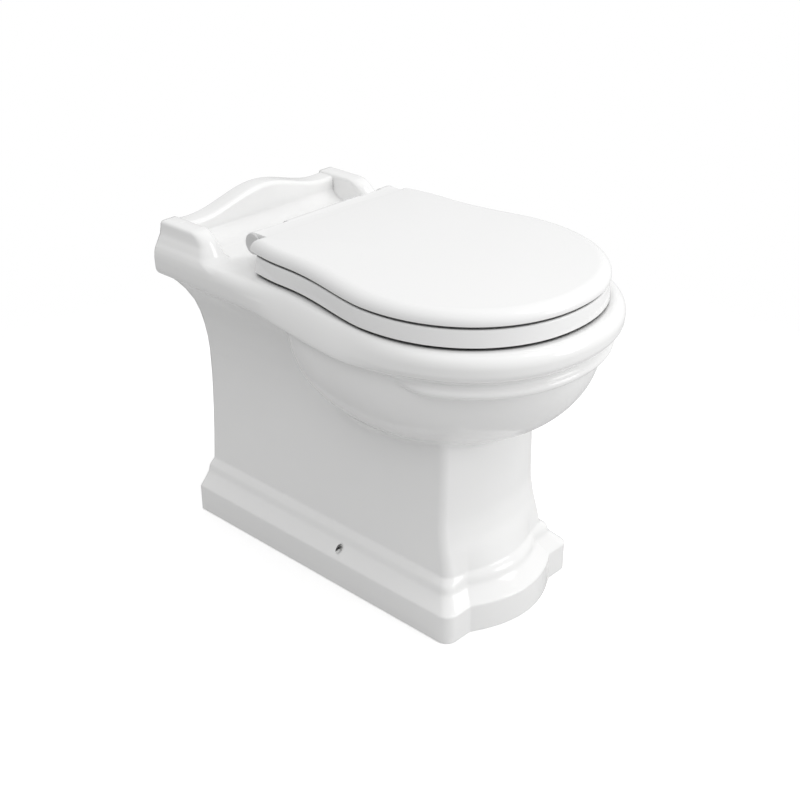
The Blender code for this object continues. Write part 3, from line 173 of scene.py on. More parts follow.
# The bowl under the rim: share of the height, of the half width, and the front's and back's places
BOWL = np.array((
    (0.45, 0.49, 0.716, 0.112), (0.55, 0.73, 0.838, 0.086), (0.68, 0.89, 0.926, 0.054),
    (0.85, 0.985, 0.988, 0.028), (1.00, 1.00, 1.000, 0.000)))
# The arms: share of the height over the deck, of the reach, of the outer step, of the inner lean
ARM = np.array((
    (-0.47, 1.00, 0.995, 1.0), (-0.22, 1.00, 0.97, 1.0), (0.03, 0.66, 0.80, 0.5),
    (0.17, 0.54, 0.58, 0.25), (0.33, 0.46, 0.38, 0.1), (0.53, 0.36, 0.13, 0.0),
    (0.74, 0.25, 0.04, 0.0), (0.90, 0.13, 0.0, 0.05), (0.975, 0.03, -0.12, 0.25),
    (1.00, -0.05, -0.28, 0.45)))


def ease(share):
    """A smooth step from 0 to 1."""
    return (1 - np.cos(math.pi * np.clip(share, 0, 1))) / 2


def between(start, end, share):
    return start + (end - start) * share


def past(angles, turn):
    """A smooth step from 0 to 1 over a turn, given as (start, run)."""
    start, run = turn
    return ease((angles - start) / run)


def quarter(steps, start=0.0, end=math.pi / 2):
    """A quarter round as (1 - sine, 1 - cosine)."""
    return [(1 - math.sin(turn), 1 - math.cos(turn)) for turn in np.linspace(start, end, steps)]


def down_quarter(steps):
    return quarter(steps, math.pi / 2, 0)


def smooth_read(table, position, column=1):
    """Read a table along a smooth line through its points that never overshoots them."""
    xs, ys = table[:, 0], table[:, column]
    run = np.diff(xs)
    rise = np.diff(ys) / run
    slope = np.zeros(len(xs))
    slope[0], slope[-1] = rise[0], rise[-1]
    same = rise[:-1] * rise[1:] > 0
    before, after = rise[:-1][same], rise[1:][same]
    slope[1:-1][same] = 2 * before * after / (before + after)
    place = np.clip(position, xs[0], xs[-1])
    index = np.clip(np.searchsorted(xs, place) - 1, 0, len(run) - 1)
    share = (place - xs[index]) / run[index]
    square, cube = share ** 2, share ** 3
    return ((2 * cube - 3 * square + 1) * ys[index] + (cube - 2 * square + share) * run[index] * slope[index]
            + (3 * square - 2 * cube) * ys[index + 1] + (cube - square) * run[index] * slope[index + 1])


def soft_max(first, second, width):
    """The larger of two, with a rounded inner corner of this width where they meet."""
    share = np.clip(0.5 + 0.5 * (first - second) / width, 0, 1)
    return second + (first - second) * share + width * share * (1 - share)


# Outlines in plan: half of a symmetric outline, as (x, depth), from the back round to the front

OVAL_STEPS = 81
RIM_SIDE_STEPS = 80
FLARE_STEPS = 60
PEDESTAL_STEPS = 160
CORNER_STEPS = 24
SHOULDER_STEPS = 8
NOSE_STEPS = 60
BELLY_BACK_ROUNDNESS = 3
BLOCK_RUN_OUT = 1.3


def oval_quarter(half_width, centre, reach, roundness=2):
    turn = np.linspace(0, math.pi / 2, OVAL_STEPS)
    x = half_width * np.maximum(np.cos(turn), 0) ** (2 / roundness)
    depth = centre + reach * np.maximum(np.sin(turn), 0) ** (2 / roundness)
    return np.stack((x, depth), 1)


def rim_outline(inset):
    """The rim in plan: it swells from the straight deck to its widest line and an oval front."""
    depth = np.linspace(0, RIM_WIDEST_DEPTH, RIM_SIDE_STEPS)[:-1]
    share = np.clip((depth - DECK_STRAIGHT_DEPTH) / (RIM_WIDEST_DEPTH - DECK_STRAIGHT_DEPTH), 0, 1)
    swell = share ** 3 * (6 * share ** 2 - 15 * share + 10)
    side = np.stack((between(DECK_HALF_WIDTH, RIM_HALF_WIDTH, swell) - inset, depth), 1)
    front = oval_quarter(RIM_HALF_WIDTH - inset, RIM_WIDEST_DEPTH,
                         PAN_DEPTH - RIM_WIDEST_DEPTH - inset, RIM_ROUNDNESS)
    return np.concatenate((side, front))


def flare_outline(half_width):
    depth = np.linspace(0, RIM_WIDEST_DEPTH / 2, FLARE_STEPS)[:-1]
    side = np.stack((np.full(len(depth), half_width), depth), 1)
    return np.concatenate((side, oval_quarter(half_width, RIM_WIDEST_DEPTH / 2, half_width)))


def belly_outline(height):
    """The bulge of the bowl under the rim, or None above and below it."""
    drop = (BELLY_TOP_HEIGHT - height) / (BELLY_DROP if height < BELLY_TOP_HEIGHT else BELLY_CLOSE)
    if abs(drop) >= 1:
        return None
    scale = math.sqrt(1 - drop ** 2)
    back = oval_quarter(BELLY_HALF_WIDTH * scale, 0, BELLY_BACK * scale, BELLY_BACK_ROUNDNESS)[::-1]
    back[:, 1] = BELLY_CENTRE_DEPTH - back[:, 1]
    front = oval_quarter(BELLY_HALF_WIDTH * scale, BELLY_CENTRE_DEPTH, BELLY_FRONT * scale)
    return np.concatenate((back, front[1:]))


def pedestal_inset(height):
    """How far plinth, moulding and column lie inside the foot, at the side and in front."""
    if height <= PLINTH_HEIGHT:
        return 0.0, 0.0
    if height <= MOULDING_HEIGHT:
        foot, top, table = PLINTH_HEIGHT, MOULDING_HEIGHT, MOULDING
    else:
        foot, top, table = MOULDING_HEIGHT, BELLY_TOP_HEIGHT, COLUMN
    place = (height - foot) / (top - foot)
    return (COLUMN_INSET * float(smooth_read(table, place)),
            COLUMN_FRONT_INSET * float(smooth_read(table, place, 2)))


def pedestal_outline(height):
    """The plinth or column in plan: straight sides, rounded corners and a bowed front."""
    side_inset, front_inset = pedestal_inset(height)
    half_width = PLINTH_HALF_WIDTH - side_inset
    front = PLINTH_FRONT_DEPTH - front_inset
    bow = BOW_HALF_WIDTH * half_width / PLINTH_HALF_WIDTH
    climb = front_inset / COLUMN_FRONT_INSET
    rise = BOW_RISE * between(1.0, COLUMN_BOW_SHARE, climb)
    run_out = ease((climb - BLOCK_END_SHARE) / (1 - BLOCK_RUN_OUT * BLOCK_END_SHARE))

    def bulge(x):
        block = np.maximum(1 - (x / bow) ** 2, 0)
        return rise * between(block, 1 - (x / half_width) ** 2, run_out)

    round_off = between(PLINTH_CORNER, COLUMN_CORNER, ease(climb))
    depth = np.linspace(0, front - round_off, PEDESTAL_STEPS)[:-1]
    side = np.stack((np.full(len(depth), half_width), depth), 1)
    turn = np.linspace(0, math.pi / 2, CORNER_STEPS)
    x = half_width - round_off * (1 - np.cos(turn))
    corner = np.stack((x, front - round_off * (1 - np.sin(turn)) + bulge(x)), 1)
    bend = min(bow, half_width - round_off)
    x = np.concatenate((np.linspace(half_width - round_off, bend, SHOULDER_STEPS)[1:-1],
                        np.linspace(bend, 0, NOSE_STEPS)))
    nose = np.stack((x, front + bulge(x)), 1)
    return np.concatenate((side, corner, nose))


def from_polar(reach, angles, hub=HUB_DEPTH):
    """Points (x, depth) at a reach from the hub, at angles counted from the way to the wall."""
    return np.stack((reach * np.sin(angles), hub - reach * np.cos(angles)), 1)


def to_polar(points, hub=HUB_DEPTH):
    """The angles and reaches of points (x, depth)."""
    x, ahead = points[..., 0], hub - points[..., 1]
    return np.arctan2(x, ahead), np.hypot(x, ahead)


# A crossing too flat to use, the least divisor, and the slack at an edge's ends
FLAT_CROSSING = 1e-9
LEAST_CROSSING = 1e-14
END_SLACK = 1e-6


def radii(outline, angles, hub=HUB_DEPTH):
    """How far an outline lies from the hub at each angle, counted from the way to the wall."""
    turns, reach = to_polar(outline, hub)
    at = np.interp(angles, turns, np.arange(len(turns)))
    low = np.clip(at.astype(int), 0, len(turns) - 2)
    start, end = outline[low], outline[low + 1]
    way = np.stack((np.sin(angles), -np.cos(angles)), 1)
    edge = end - start
    cross = edge[:, 0] * way[:, 1] - edge[:, 1] * way[:, 0]
    offset = (0.0, hub) - start
    flat = np.abs(cross) < FLAT_CROSSING
    along = (edge[:, 1] * offset[:, 0] - edge[:, 0] * offset[:, 1]) / np.where(flat, 1, cross)
    return np.where(flat, np.interp(angles, turns, reach), np.abs(along))


def reach_of(outline, angles):
    """How far the farthest crossing of an outline lies from the hub at each angle, or 0 if none."""
    start, end = outline[:-1], outline[1:]
    edge = end - start
    offset = (0.0, HUB_DEPTH) - start
    way = np.stack((np.sin(angles), -np.cos(angles)), 1)
    cross = edge[None, :, 0] * way[:, None, 1] - edge[None, :, 1] * way[:, None, 0]
    cross = np.where(np.abs(cross) < LEAST_CROSSING, LEAST_CROSSING, cross)
    share = (offset[None, :, 0] * way[:, None, 1] - offset[None, :, 1] * way[:, None, 0]) / cross
    along = (edge[None, :, 1] * offset[None, :, 0] - edge[None, :, 0] * offset[None, :, 1]) / cross
    hit = (share >= -END_SLACK) & (share <= 1 + END_SLACK) & (along > 0)
    return np.where(hit, along, 0).max(axis=1)


# Where one form takes over from another on the way round from the wall: (start, run) in radians
ARM_TURN = (math.radians(38), math.radians(12))
SIDE_TURN = (math.radians(50), math.radians(25))
FRONT_TURN = (math.radians(106), math.radians(34))
BELLY_TURN = (2.1, 0.6)
BEAD_TURN = (2.1, 0.4)
FOLD_TURN = (0.9, 0.4)


def flare_half_width(height):
    place = (RIM_ROLL_HEIGHT - height) / (RIM_ROLL_HEIGHT - FLARE_FOOT_HEIGHT)
    return between(DECK_HALF_WIDTH, PLINTH_HALF_WIDTH - COLUMN_INSET, float(smooth_read(FLARE, place)))


def deck_half_width(height):
    """Half the width between the arms' feet, above the rim's roll: just inside the arms."""
    place = max(height - RIM_ROLL_HEIGHT, 0) / (RIM_HEIGHT - RIM_ROLL_HEIGHT)
    return DECK_HALF_WIDTH - ARM_COVER * place ** 2


def rim_radii(height, angles):
    """The rim at a height: the back by the arms, the side, then the front with its roll."""
    side = radii(rim_outline(float(smooth_read(SIDE_EDGE, RIM_HEIGHT - height))), angles)
    if height >= RIM_ROLL_HEIGHT:
        place = (height - RIM_ROLL_HEIGHT) / (RIM_HEIGHT - RIM_ROLL_HEIGHT)
        turn = math.asin(min(place, 1.0))
        front = radii(rim_outline(TOP_EDGE_INSET * (1 - math.cos(turn))), angles)
        under_arm = radii(rim_outline(DECK_HALF_WIDTH - deck_half_width(height)), angles)
        back = between(under_arm, front, past(angles, ARM_TURN))
    else:
        place = (RIM_ROLL_HEIGHT - height) / ROLL_DEPTH
        back = radii(rim_outline(DECK_HALF_WIDTH - flare_half_width(height)), angles)
        front = radii(rim_outline(ROLL_INSET * float(smooth_read(FRONT_ROLL, place))), angles)
    to_side, to_front = past(angles, SIDE_TURN), past(angles, FRONT_TURN)
    return (back * (1 - to_side) + side * to_side) * (1 - to_front) + front * to_front


# The sections' points, as shares of the way round from the wall's corner to the front, and their
# heights, as (start, end, count): closer at the belly's fold, the plinth's corner and the rim's fold
STATION_STEPS = ((0.0, 0.16, 14), (0.16, 0.46, 76), (0.46, 0.78, 44), (0.78, 0.90, 60), (0.90, 1.0, 26))
ROW_STEPS = ((0.0, 0.0395, 3), (0.0395, 0.0440, 6), (0.0440, 0.0800, 28), (0.0800, 0.130, 10),
             (0.130, 0.225, 12), (0.225, 0.300, 26), (0.300, 0.366, 26), (0.366, 0.384, 14),
             (0.384, 0.398, 24), (0.398, 0.417, 14), (0.417, 0.4325, 14))
BELLY_SIDE_BLEND = 0.030
BELLY_FRONT_BLEND = 0.010
BELLY_BACK_SLOPE = 0.09
BEAD_SHARE = 1.37
BEAD_FOOT = RIM_ROLL_HEIGHT - BEAD_SHARE * ROLL_DEPTH
BEAD_LEAD = 0.004
BEAD_SLOPE = 2.5
RIM_SIDE_BLEND = 0.006
RIM_FRONT_BLEND = 0.0025
RIM_BLEND_RUN = 0.008
LEAST_BLEND = 1e-6
BACK_GAP = 0.0003
BACK_TURN = (-0.008, BACK_GAP)
SMOOTH_ROUNDS = 40
SMOOTH_FOOT = 0.222
SMOOTH_RUN = 0.012
SMOOTH_END = math.radians(114)
SMOOTH_FADE = math.radians(16)


def spaced(steps, end):
    """Values in steps, given as (start, end, count), and a last value."""
    return np.concatenate([np.linspace(*step, endpoint=False) for step in steps] + [[end]])


STATION_SHARES = spaced(STATION_STEPS, 1.0)


def outer_half(height):
    """Half the pan's outline at a height, as an array of (x, depth)."""
    side_inset, _ = pedestal_inset(height)
    half_width = PLINTH_HALF_WIDTH - side_inset
    if height > FLARE_FOOT_HEIGHT:
        half_width = max(half_width, flare_half_width(height))
    if height > RIM_ROLL_HEIGHT:
        half_width = deck_half_width(height)
    corner = math.atan2(half_width, HUB_DEPTH)
    angles = corner + (math.pi - corner) * STATION_SHARES
    reach = np.zeros(len(angles))
    if height < BELLY_TOP_HEIGHT:
        reach = radii(pedestal_outline(height), angles)
    if FLARE_FOOT_HEIGHT < height < RIM_ROLL_HEIGHT:
        reach = np.maximum(reach, reach_of(flare_outline(flare_half_width(height)), angles))
    belly = belly_outline(height)
    if belly is not None:
        bulge = reach_of(belly, angles)
        first = int(np.argmax(bulge > 0))
        bulge[:first] = bulge[first] - BELLY_BACK_SLOPE * (angles[first] - angles[:first])
        reach = soft_max(bulge, reach, between(BELLY_SIDE_BLEND, BELLY_FRONT_BLEND, past(angles, BELLY_TURN)))
    if height >= BEAD_FOOT - BEAD_LEAD:
        rim = rim_radii(max(height, BEAD_FOOT), angles) - max(BEAD_FOOT - height, 0) * BEAD_SLOPE
        blend = past(angles, FOLD_TURN) * between(RIM_SIDE_BLEND, RIM_FRONT_BLEND, past(angles, BEAD_TURN))
        blend *= np.clip((RIM_ROLL_HEIGHT - height) / RIM_BLEND_RUN, 0, 1)
        reach = soft_max(rim, reach, np.maximum(blend, LEAST_BLEND))
    half = from_polar(reach, angles)
    half[0] = (half_width, 0.0)
    half[-1, 0] = 0.0
    return half


def at_height(points, height):
    """Points (x, y, z) from points (x, depth)."""
    return np.column_stack((points[:, 0], WALL_Y - points[:, 1], np.full(len(points), height)))


def both_sides(half, height, end=0):
    """A full ring from its left half, mirrored back to the half's point number end."""
    half = at_height(half, height)
    return np.concatenate((half * (-1, 1, 1), half[end:-1][::-1]))


def wall_ring(half, height, turn_in=(0.0, 0.0)):
    """A ring that is open at the wall, with its first point twice, once moved by turn_in."""
    return both_sides(np.concatenate((half[:1] + turn_in, half)), height)


def closed_ring(reach, angles, height, hub=HUB_DEPTH):
    """A ring at a reach from the hub all the way round."""
    half = from_polar(reach, angles, hub)
    half[[0, -1], 0] = 0.0
    return both_sides(half, height, 1)


# Meshes

WELD = 0.00002
# Edges sharper than these angles, in degrees, stay sharp
EDGE_ANGLE = 40
ROUND_ANGLE = 50
JOIN_ANGLE = 60


def grid_faces(rows, columns, closed):
    faces = []
    for row in range(rows - 1):
        for column in range(columns if closed else columns - 1):
            after = (column + 1) % columns
            low, high = row * columns, (row + 1) * columns
            faces.append((low + column, low + after, high + after, high + column))
    return faces


def smooth(mesh, angle):
    """Shade a mesh smooth, except at edges that are sharper than the angle in degrees."""
    mesh.shade_smooth()
    mesh.set_sharp_from_angle(angle=math.radians(angle))


def add_object(name, mesh, material, angle):
    smooth(mesh, angle)
    mesh.materials.append(material)
    item = bpy.data.objects.new(name, mesh)
    bpy.context.scene.collection.objects.link(item)
    return item


def loft_object(name, rings, material, angle=EDGE_ANGLE, closed=True, ends=(False, False)):
    """A skin over rings with the same number of points. An end can be closed by a face."""
    count = len(rings[0])
    faces = grid_faces(len(rings), count, closed)
    if ends[0]:
        faces.append(tuple(reversed(range(count))))
    if ends[1]:
        faces.append(tuple(range((len(rings) - 1) * count, len(rings) * count)))
    mesh = bpy.data.meshes.new(name)
    mesh.from_pydata([tuple(point) for point in np.concatenate(rings)], [], faces)
    form = bmesh.new()
    form.from_mesh(mesh)
    bmesh.ops.remove_doubles(form, verts=form.verts, dist=WELD)
    bmesh.ops.recalc_face_normals(form, faces=form.faces)
    form.to_mesh(mesh)
    form.free()
    mesh.validate()
    return add_object(name, mesh, material, angle)


def join(target, *others):
    """Join other meshes into one, keeping the first one's name."""
    form = bmesh.new()
    for item in (target, *others):
        form.from_mesh(item.data)
    form.to_mesh(target.data)
    form.free()
    target.data.set_sharp_from_angle(angle=math.radians(JOIN_ANGLE))
    for item in others:
        bpy.data.objects.remove(item)
    return target


# Materials

MOTTLE = 0.012
CLOUD_SCALE = 9.0
CLOUD_DETAIL = 3.0
GLOSS_SPREAD = (0.85, 1.2)
COAT_ROUGHNESS = 0.03
BEVEL_SAMPLES = 8
BUMP_DETAIL = 2.0
WAVE_SCALE = 14.0
WAVE_DEPTH = 0.004
GRAIN_DEPTH = 0.0006
# Painted shade in narrow gaps: the occlusion samples and distance, the occlusion shares for full shade and
# for none, the lightness left in a gap, how far under the deck the glaze's shade starts, and a height below
# everything
GAP_SAMPLES = 6
GAP_DISTANCE = 0.009
GAP_SHUT = 0.22
GAP_OPEN = 0.46
GAP_LIGHT = 0.03
DECK_GAP_DROP = 0.0006
EVERYWHERE = -10.0


def put(tree, node, name, value):
    """Set an input of a node to a value, or link it to an output."""
    if isinstance(value, bpy.types.NodeSocket):
        tree.links.new(value, node.inputs[name])
    else:
        node.inputs[name].default_value = value


def add_node(tree, kind, inputs=(), **settings):
    """Add a node, with its settings and its inputs by name or number."""
    node = tree.nodes.new("ShaderNode" + kind)
    for name, value in settings.items():
        setattr(node, name, value)
    for name, value in dict(inputs).items():
        put(tree, node, name, value)
    return node


def new_material(name):
    material = bpy.data.materials.new(name)
    material.use_nodes = True
    tree = material.node_tree
    return material, tree, tree.nodes["Principled BSDF"]


def painted_gap_shade(tree, place, start):
    """Painted shade: 1 in the open, and nearly 0 in the narrow gaps between two pieces above a height."""
    gap = add_node(tree, "AmbientOcclusion", {"Distance": GAP_DISTANCE}, samples=GAP_SAMPLES)
    share = add_node(tree, "MapRange", {"Value": gap.outputs["AO"], "From Min": GAP_SHUT,
                                        "From Max": GAP_OPEN, "To Min": GAP_LIGHT})
    split = add_node(tree, "SeparateXYZ", {"Vector": place})
    below = add_node(tree, "Math", {0: split.outputs["Z"], 1: start}, operation="LESS_THAN")
    larger = add_node(tree, "Math", {0: share.outputs["Result"], 1: below.outputs["Value"]},
                      operation="MAXIMUM")
    return larger.outputs["Value"]


def finish_material(name, colour, roughness, metallic=0.0, grain=0.0, grain_scale=60.0, wave=0.0,
                    coat=0.0, round_edges=0.0, painted_shade_from=None):
    """A finish with a faint mottle and a fine grain, and painted shade darkening its narrow gaps above a
    given height.
    """
    material, tree, shader = new_material(name)
    place = add_node(tree, "TexCoord").outputs["Object"]
    cloud = add_node(tree, "TexNoise", {"Vector": place, "Scale": CLOUD_SCALE, "Detail": CLOUD_DETAIL})
    cloud = cloud.outputs["Fac"]
    tint = add_node(tree, "MapRange", {"Value": cloud, "To Min": 1.0 - MOTTLE, "To Max": 1.0})
    shade = add_node(tree, "VectorMath", {0: colour, "Scale": tint.outputs["Result"]}, operation="SCALE")
    # Painted shade: the colour is darkened in narrow gaps, where shade falls
    if painted_shade_from is not None:
        dark = painted_gap_shade(tree, place, painted_shade_from)
        shade = add_node(tree, "VectorMath", {0: shade.outputs["Vector"], "Scale": dark}, operation="SCALE")
    gloss = add_node(tree, "MapRange", {"Value": cloud, "To Min": roughness * GLOSS_SPREAD[0],
                                        "To Max": roughness * GLOSS_SPREAD[1]})
    normal = None
    if round_edges:
        normal = add_node(tree, "Bevel", {"Radius": round_edges}, samples=BEVEL_SAMPLES).outputs["Normal"]
    for strength, scale, depth in ((wave, WAVE_SCALE, WAVE_DEPTH), (grain, grain_scale, GRAIN_DEPTH)):
        if strength:
            noise = add_node(tree, "TexNoise", {"Vector": place, "Scale": scale, "Detail": BUMP_DETAIL})
            bump = add_node(tree, "Bump", {"Strength": strength, "Distance": depth,
                                           "Height": noise.outputs["Fac"]})
            if normal:
                put(tree, bump, "Normal", normal)
            normal = bump.outputs["Normal"]
    for socket, value in (("Base Color", shade.outputs["Vector"]), ("Roughness", gloss.outputs["Result"]),
                          ("Metallic", metallic), ("Coat Weight", coat),
                          ("Coat Roughness", COAT_ROUGHNESS), ("Normal", normal)):
        put(tree, shader, socket, value)
    if coat:
        put(tree, shader, "Coat Normal", normal)
    return material


# The glaze above the deck, and the seat's lacquer everywhere, get painted shade in their narrow gaps
china = finish_material("china_glaze", (0.92, 0.92, 0.916), 0.09, wave=0.03, grain=0.02, coat=0.4,
                        round_edges=0.0035, painted_shade_from=RIM_HEIGHT - DECK_GAP_DROP)
plastic = finish_material("seat_lacquer", (0.91, 0.91, 0.908), 0.14, wave=0.015, grain=0.03, coat=0.2,
                          round_edges=0.0008, painted_shade_from=EVERYWHERE)
cap_grey = finish_material("cap_grey", (0.66, 0.66, 0.66), 0.35, grain=0.1, grain_scale=400.0)
pale_rubber = finish_material("pale_rubber", (0.72, 0.72, 0.70), 0.7, grain=0.2, grain_scale=500.0)
dark_rubber = finish_material("dark_rubber", (0.05, 0.05, 0.05), 0.7, grain=0.2, grain_scale=500.0)
steel = finish_material("plated_steel", (0.62, 0.62, 0.61), 0.3, metallic=1.0, grain=0.05,
                        grain_scale=300.0)
nylon = finish_material("nylon", (0.55, 0.55, 0.54), 0.5, grain=0.1, grain_scale=300.0)


# Pan

LIP_ROUND_SHARE = 0.12
DECK_SHARES = (0.06, 0.15, 0.3, 0.5, 0.7, 0.85, 0.95, 1.0)
DECK_OVERLAP = 0.01
DECK_BACK_DROP = 0.00003
DECK_BACK_COLUMNS = 41
DECK_BACK_ROWS = 12


def smooth_halves(halves, heights):
    """Round off the creases where flare, belly and rim side meet, but not the front's bead."""
    grid = np.array(halves)
    below, above = np.diff(heights)[:-1, None, None], np.diff(heights)[1:, None, None]
    before, after = np.diff(STATION_SHARES)[None, :-1, None], np.diff(STATION_SHARES)[None, 1:, None]
    rows = ease((heights - SMOOTH_FOOT) / SMOOTH_RUN) * ease((RIM_ROLL_HEIGHT - heights) / RIM_BLEND_RUN)
    angles, _ = to_polar(grid)
    weight = (rows[:, None] * ease((SMOOTH_END - angles) / SMOOTH_FADE))[1:-1, 1:-1, None]
    for _ in range(SMOOTH_ROUNDS):
        middle = grid[1:-1, 1:-1]
        upright = (grid[:-2, 1:-1] * above + grid[2:, 1:-1] * below) / (below + above)
        level = (grid[1:-1, :-2] * after + grid[1:-1, 2:] * before) / (before + after)
        grid[1:-1, 1:-1] = middle + weight * ((upright + level) / 2 - middle) / 2
    return list(grid)


def make_pan_outer():
    """The outside from the foot to the deck, and the deck in to the bowl's lip."""
    heights = spaced(ROW_STEPS, RIM_HEIGHT)
    halves = smooth_halves([outer_half(height) for height in heights], heights)
    rings = [wall_ring(half, height, BACK_TURN) for half, height in zip(halves, heights)]
    angles, edge = to_polar(halves[-1])
    lip = bowl_radii(angles, LIP_ROUND_SHARE)
    for share in DECK_SHARES:
        half = from_polar(between(edge, lip, share), angles)
        half[-1, 0] = 0.0
        rings.append(wall_ring(half, RIM_HEIGHT))
    return loft_object("pan_outer", rings, china, ROUND_ANGLE, closed=False)


def make_deck_back():
    """The flat of the deck between wall and bowl."""
    corner = math.atan2(DECK_HALF_WIDTH - ARM_COVER, HUB_DEPTH)
    angles = np.linspace(-corner - DECK_OVERLAP, corner + DECK_OVERLAP, DECK_BACK_COLUMNS)
    wall = HUB_DEPTH / np.maximum(np.cos(angles), math.cos(corner))
    lip = bowl_radii(np.abs(angles), LIP_ROUND_SHARE)
    rows = [at_height(from_polar(between(wall, lip, share), angles), RIM_HEIGHT - DECK_BACK_DROP)
            for share in np.linspace(0, 1, DECK_BACK_ROWS)]
    return loft_object("deck_back", rows, china, ROUND_ANGLE, closed=False)


FIXING_CUT_RADIUS = 0.0085
FIXING_EDGE_RADIUS = 0.013
FIXING_CHAMFER = 0.0004
FIXING_WALL = 0.010
FIXING_SIDES = 48


def cut_fixing_hole(item, side):
    """Open a round hole in the plinth's side, with a short wall behind its edge whose deeper part is painted
    black as painted shade.
    """
    form = bmesh.new()
    form.from_mesh(item.data)
    middle = Vector((0, WALL_Y - FIXING_DEPTH, FIXING_HEIGHT))

    def distance(point):
        return math.hypot(point.y - middle.y, point.z - middle.z)

    near = [face for face in form.faces
            if face.calc_center_median().x * side > 0
            and distance(face.calc_center_median()) < FIXING_CUT_RADIUS]
    levels = sorted(set((round(v.co.z, 6), v.co.x) for face in near for v in face.verts))
    bmesh.ops.delete(form, geom=near, context="FACES")
    edge = [e for e in form.edges if e.is_boundary and e.verts[0].co.x * side > 0
            and max(distance(v.co) for v in e.verts) < FIXING_EDGE_RADIUS]
    rings = []
    for radius, sink in ((FIXING_HOLE_RADIUS + FIXING_CHAMFER, 0.0),
                         (FIXING_HOLE_RADIUS, FIXING_CHAMFER), (FIXING_HOLE_RADIUS, FIXING_WALL)):
        ring = []
        for turn in np.linspace(0, 2 * math.pi, FIXING_SIDES, endpoint=False):
            height = middle.z + radius * math.sin(turn)
            x = float(np.interp(height, [z for z, _ in levels], [x for _, x in levels])) - side * sink
            ring.append(form.verts.new((x, middle.y + radius * math.cos(turn), height)))
        rings.append(ring)
    loops = [[form.edges.new(pair) for pair in zip(ring, ring[1:] + ring[:1])] for ring in rings]
    bmesh.ops.bridge_loops(form, edges=edge + loops[0])
    bmesh.ops.bridge_loops(form, edges=loops[0] + loops[1])
    # The deeper wall takes the second material, black, as painted shade inside the hole
    for face in bmesh.ops.bridge_loops(form, edges=loops[1] + loops[2])["faces"]:
        face.material_index = 1
    bmesh.ops.recalc_face_normals(form, faces=form.faces)
    form.to_mesh(item.data)
    form.free()
    smooth(item.data, ROUND_ANGLE)


def bowl_radii(angles, share, half_width=BOWL_HALF_WIDTH, front=BOWL_FRONT_DEPTH, back=BOWL_BACK_DEPTH):
    """The bowl's oval, stepped outwards by a share of the channel."""
    half_width = half_width + RIM_CHANNEL * share
    front = front + RIM_CHANNEL_FRONT * share
    back = back - RIM_CHANNEL * share
    return radii(full_oval(half_width, front, back), angles)


def full_oval(half_width, front, back):
    """Half of an oval hole's outline, from the back round to the front."""
    centre, reach = (front + back) / 2, (front - back) / 2
    ahead = oval_quarter(half_width, centre, reach, BOWL_ROUNDNESS)
    behind = ahead[::-1].copy()
    behind[:, 1] = 2 * centre - behind[:, 1]
    return np.concatenate((behind, ahead[1:]))


BOWL_COLUMNS = 110
BOWL_ROWS = 26
LIP_ROUND = 0.0052
CHANNEL_DROP_SHARE = 1.3


def make_bowl_inside():
    """The rim's lip, the channel under it and the upper bowl."""
    angles = np.linspace(0, math.pi, BOWL_COLUMNS)
    rings = []
    for inwards, down in quarter(9):
        rings.append(closed_ring(bowl_radii(angles, LIP_ROUND_SHARE * inwards), angles,
                                 RIM_HEIGHT - LIP_ROUND * down))
    for drop, out in LIP:
        rings.append(closed_ring(bowl_radii(angles, out), angles, RIM_HEIGHT - RIM_LIP_DROP * drop))
    top = RIM_HEIGHT - CHANNEL_DROP_SHARE * RIM_LIP_DROP
    widest = BOWL_HALF_WIDTH + RIM_CHANNEL
    front, back = BOWL_FRONT_DEPTH + RIM_CHANNEL_FRONT, BOWL_BACK_DEPTH - RIM_CHANNEL
    for share in np.linspace(1.0, BOWL[0, 0], BOWL_ROWS):
        wide, ahead, behind = (float(smooth_read(BOWL, share, column)) for column in (1, 2, 3))
        reach = bowl_radii(angles, 0, widest * wide, between(back, front, ahead),
                           between(back, front, behind))
        rings.append(closed_ring(reach, angles, between(SUMP_FLOOR_HEIGHT, top, share)))
    return loft_object("bowl_inside", rings, china, ROUND_ANGLE)


UPSTAND_SINK = 0.002
UPSTAND_COLUMNS = 121
UPSTAND_TOE = (0.006, -0.0003)
TOE_LIFT = 0.00005
ARM_STEPS = ((-0.47, 0.9, 42), (0.9, 1.0, 8))
ARM_LEAN_CHANGE = 0.64
ARM_LEAN = ARM_THICKNESS / 4
ARM_TURN_STEPS = 25


def upstand_top(x):
    distance = abs(x)
    hump = 1 - ease(distance / UPSTAND_HUMP_HALF_WIDTH)
    end = ease((distance - UPSTAND_HUMP_HALF_WIDTH) / (UPSTAND_HALF_WIDTH - UPSTAND_HUMP_HALF_WIDTH))
    return between(UPSTAND_LOW_HEIGHT, UPSTAND_HEIGHT, hump) + UPSTAND_END_RISE * end


def make_upstand():
    rings = []
    half = UPSTAND_HALF_WIDTH - ARM_THICKNESS / 2
    for x in np.linspace(-half, half, UPSTAND_COLUMNS):
        top = upstand_top(x)
        edge = UPSTAND_EDGE / 2
        section = [(BACK_GAP, RIM_HEIGHT - UPSTAND_SINK), (BACK_GAP, top - edge)]
        section += [(BACK_GAP + edge * near, top - edge * down) for down, near in quarter(5)[1:]]
        edge = UPSTAND_EDGE
        section += [(UPSTAND_THICKNESS - edge * near, top - edge * down) for down, near in down_quarter(9)]
        foot = UPSTAND_THICKNESS
        section += [(foot + UPSTAND_FILLET_RUN * near, RIM_HEIGHT + TOE_LIFT + UPSTAND_FILLET * down)
                    for down, near in quarter(20)]
        section.append((foot + UPSTAND_FILLET_RUN + UPSTAND_TOE[0], RIM_HEIGHT + UPSTAND_TOE[1]))
        rings.append(np.array([(x, WALL_Y - depth, height) for depth, height in section]))
    return loft_object("upstand", rings, china, ROUND_ANGLE, closed=False)


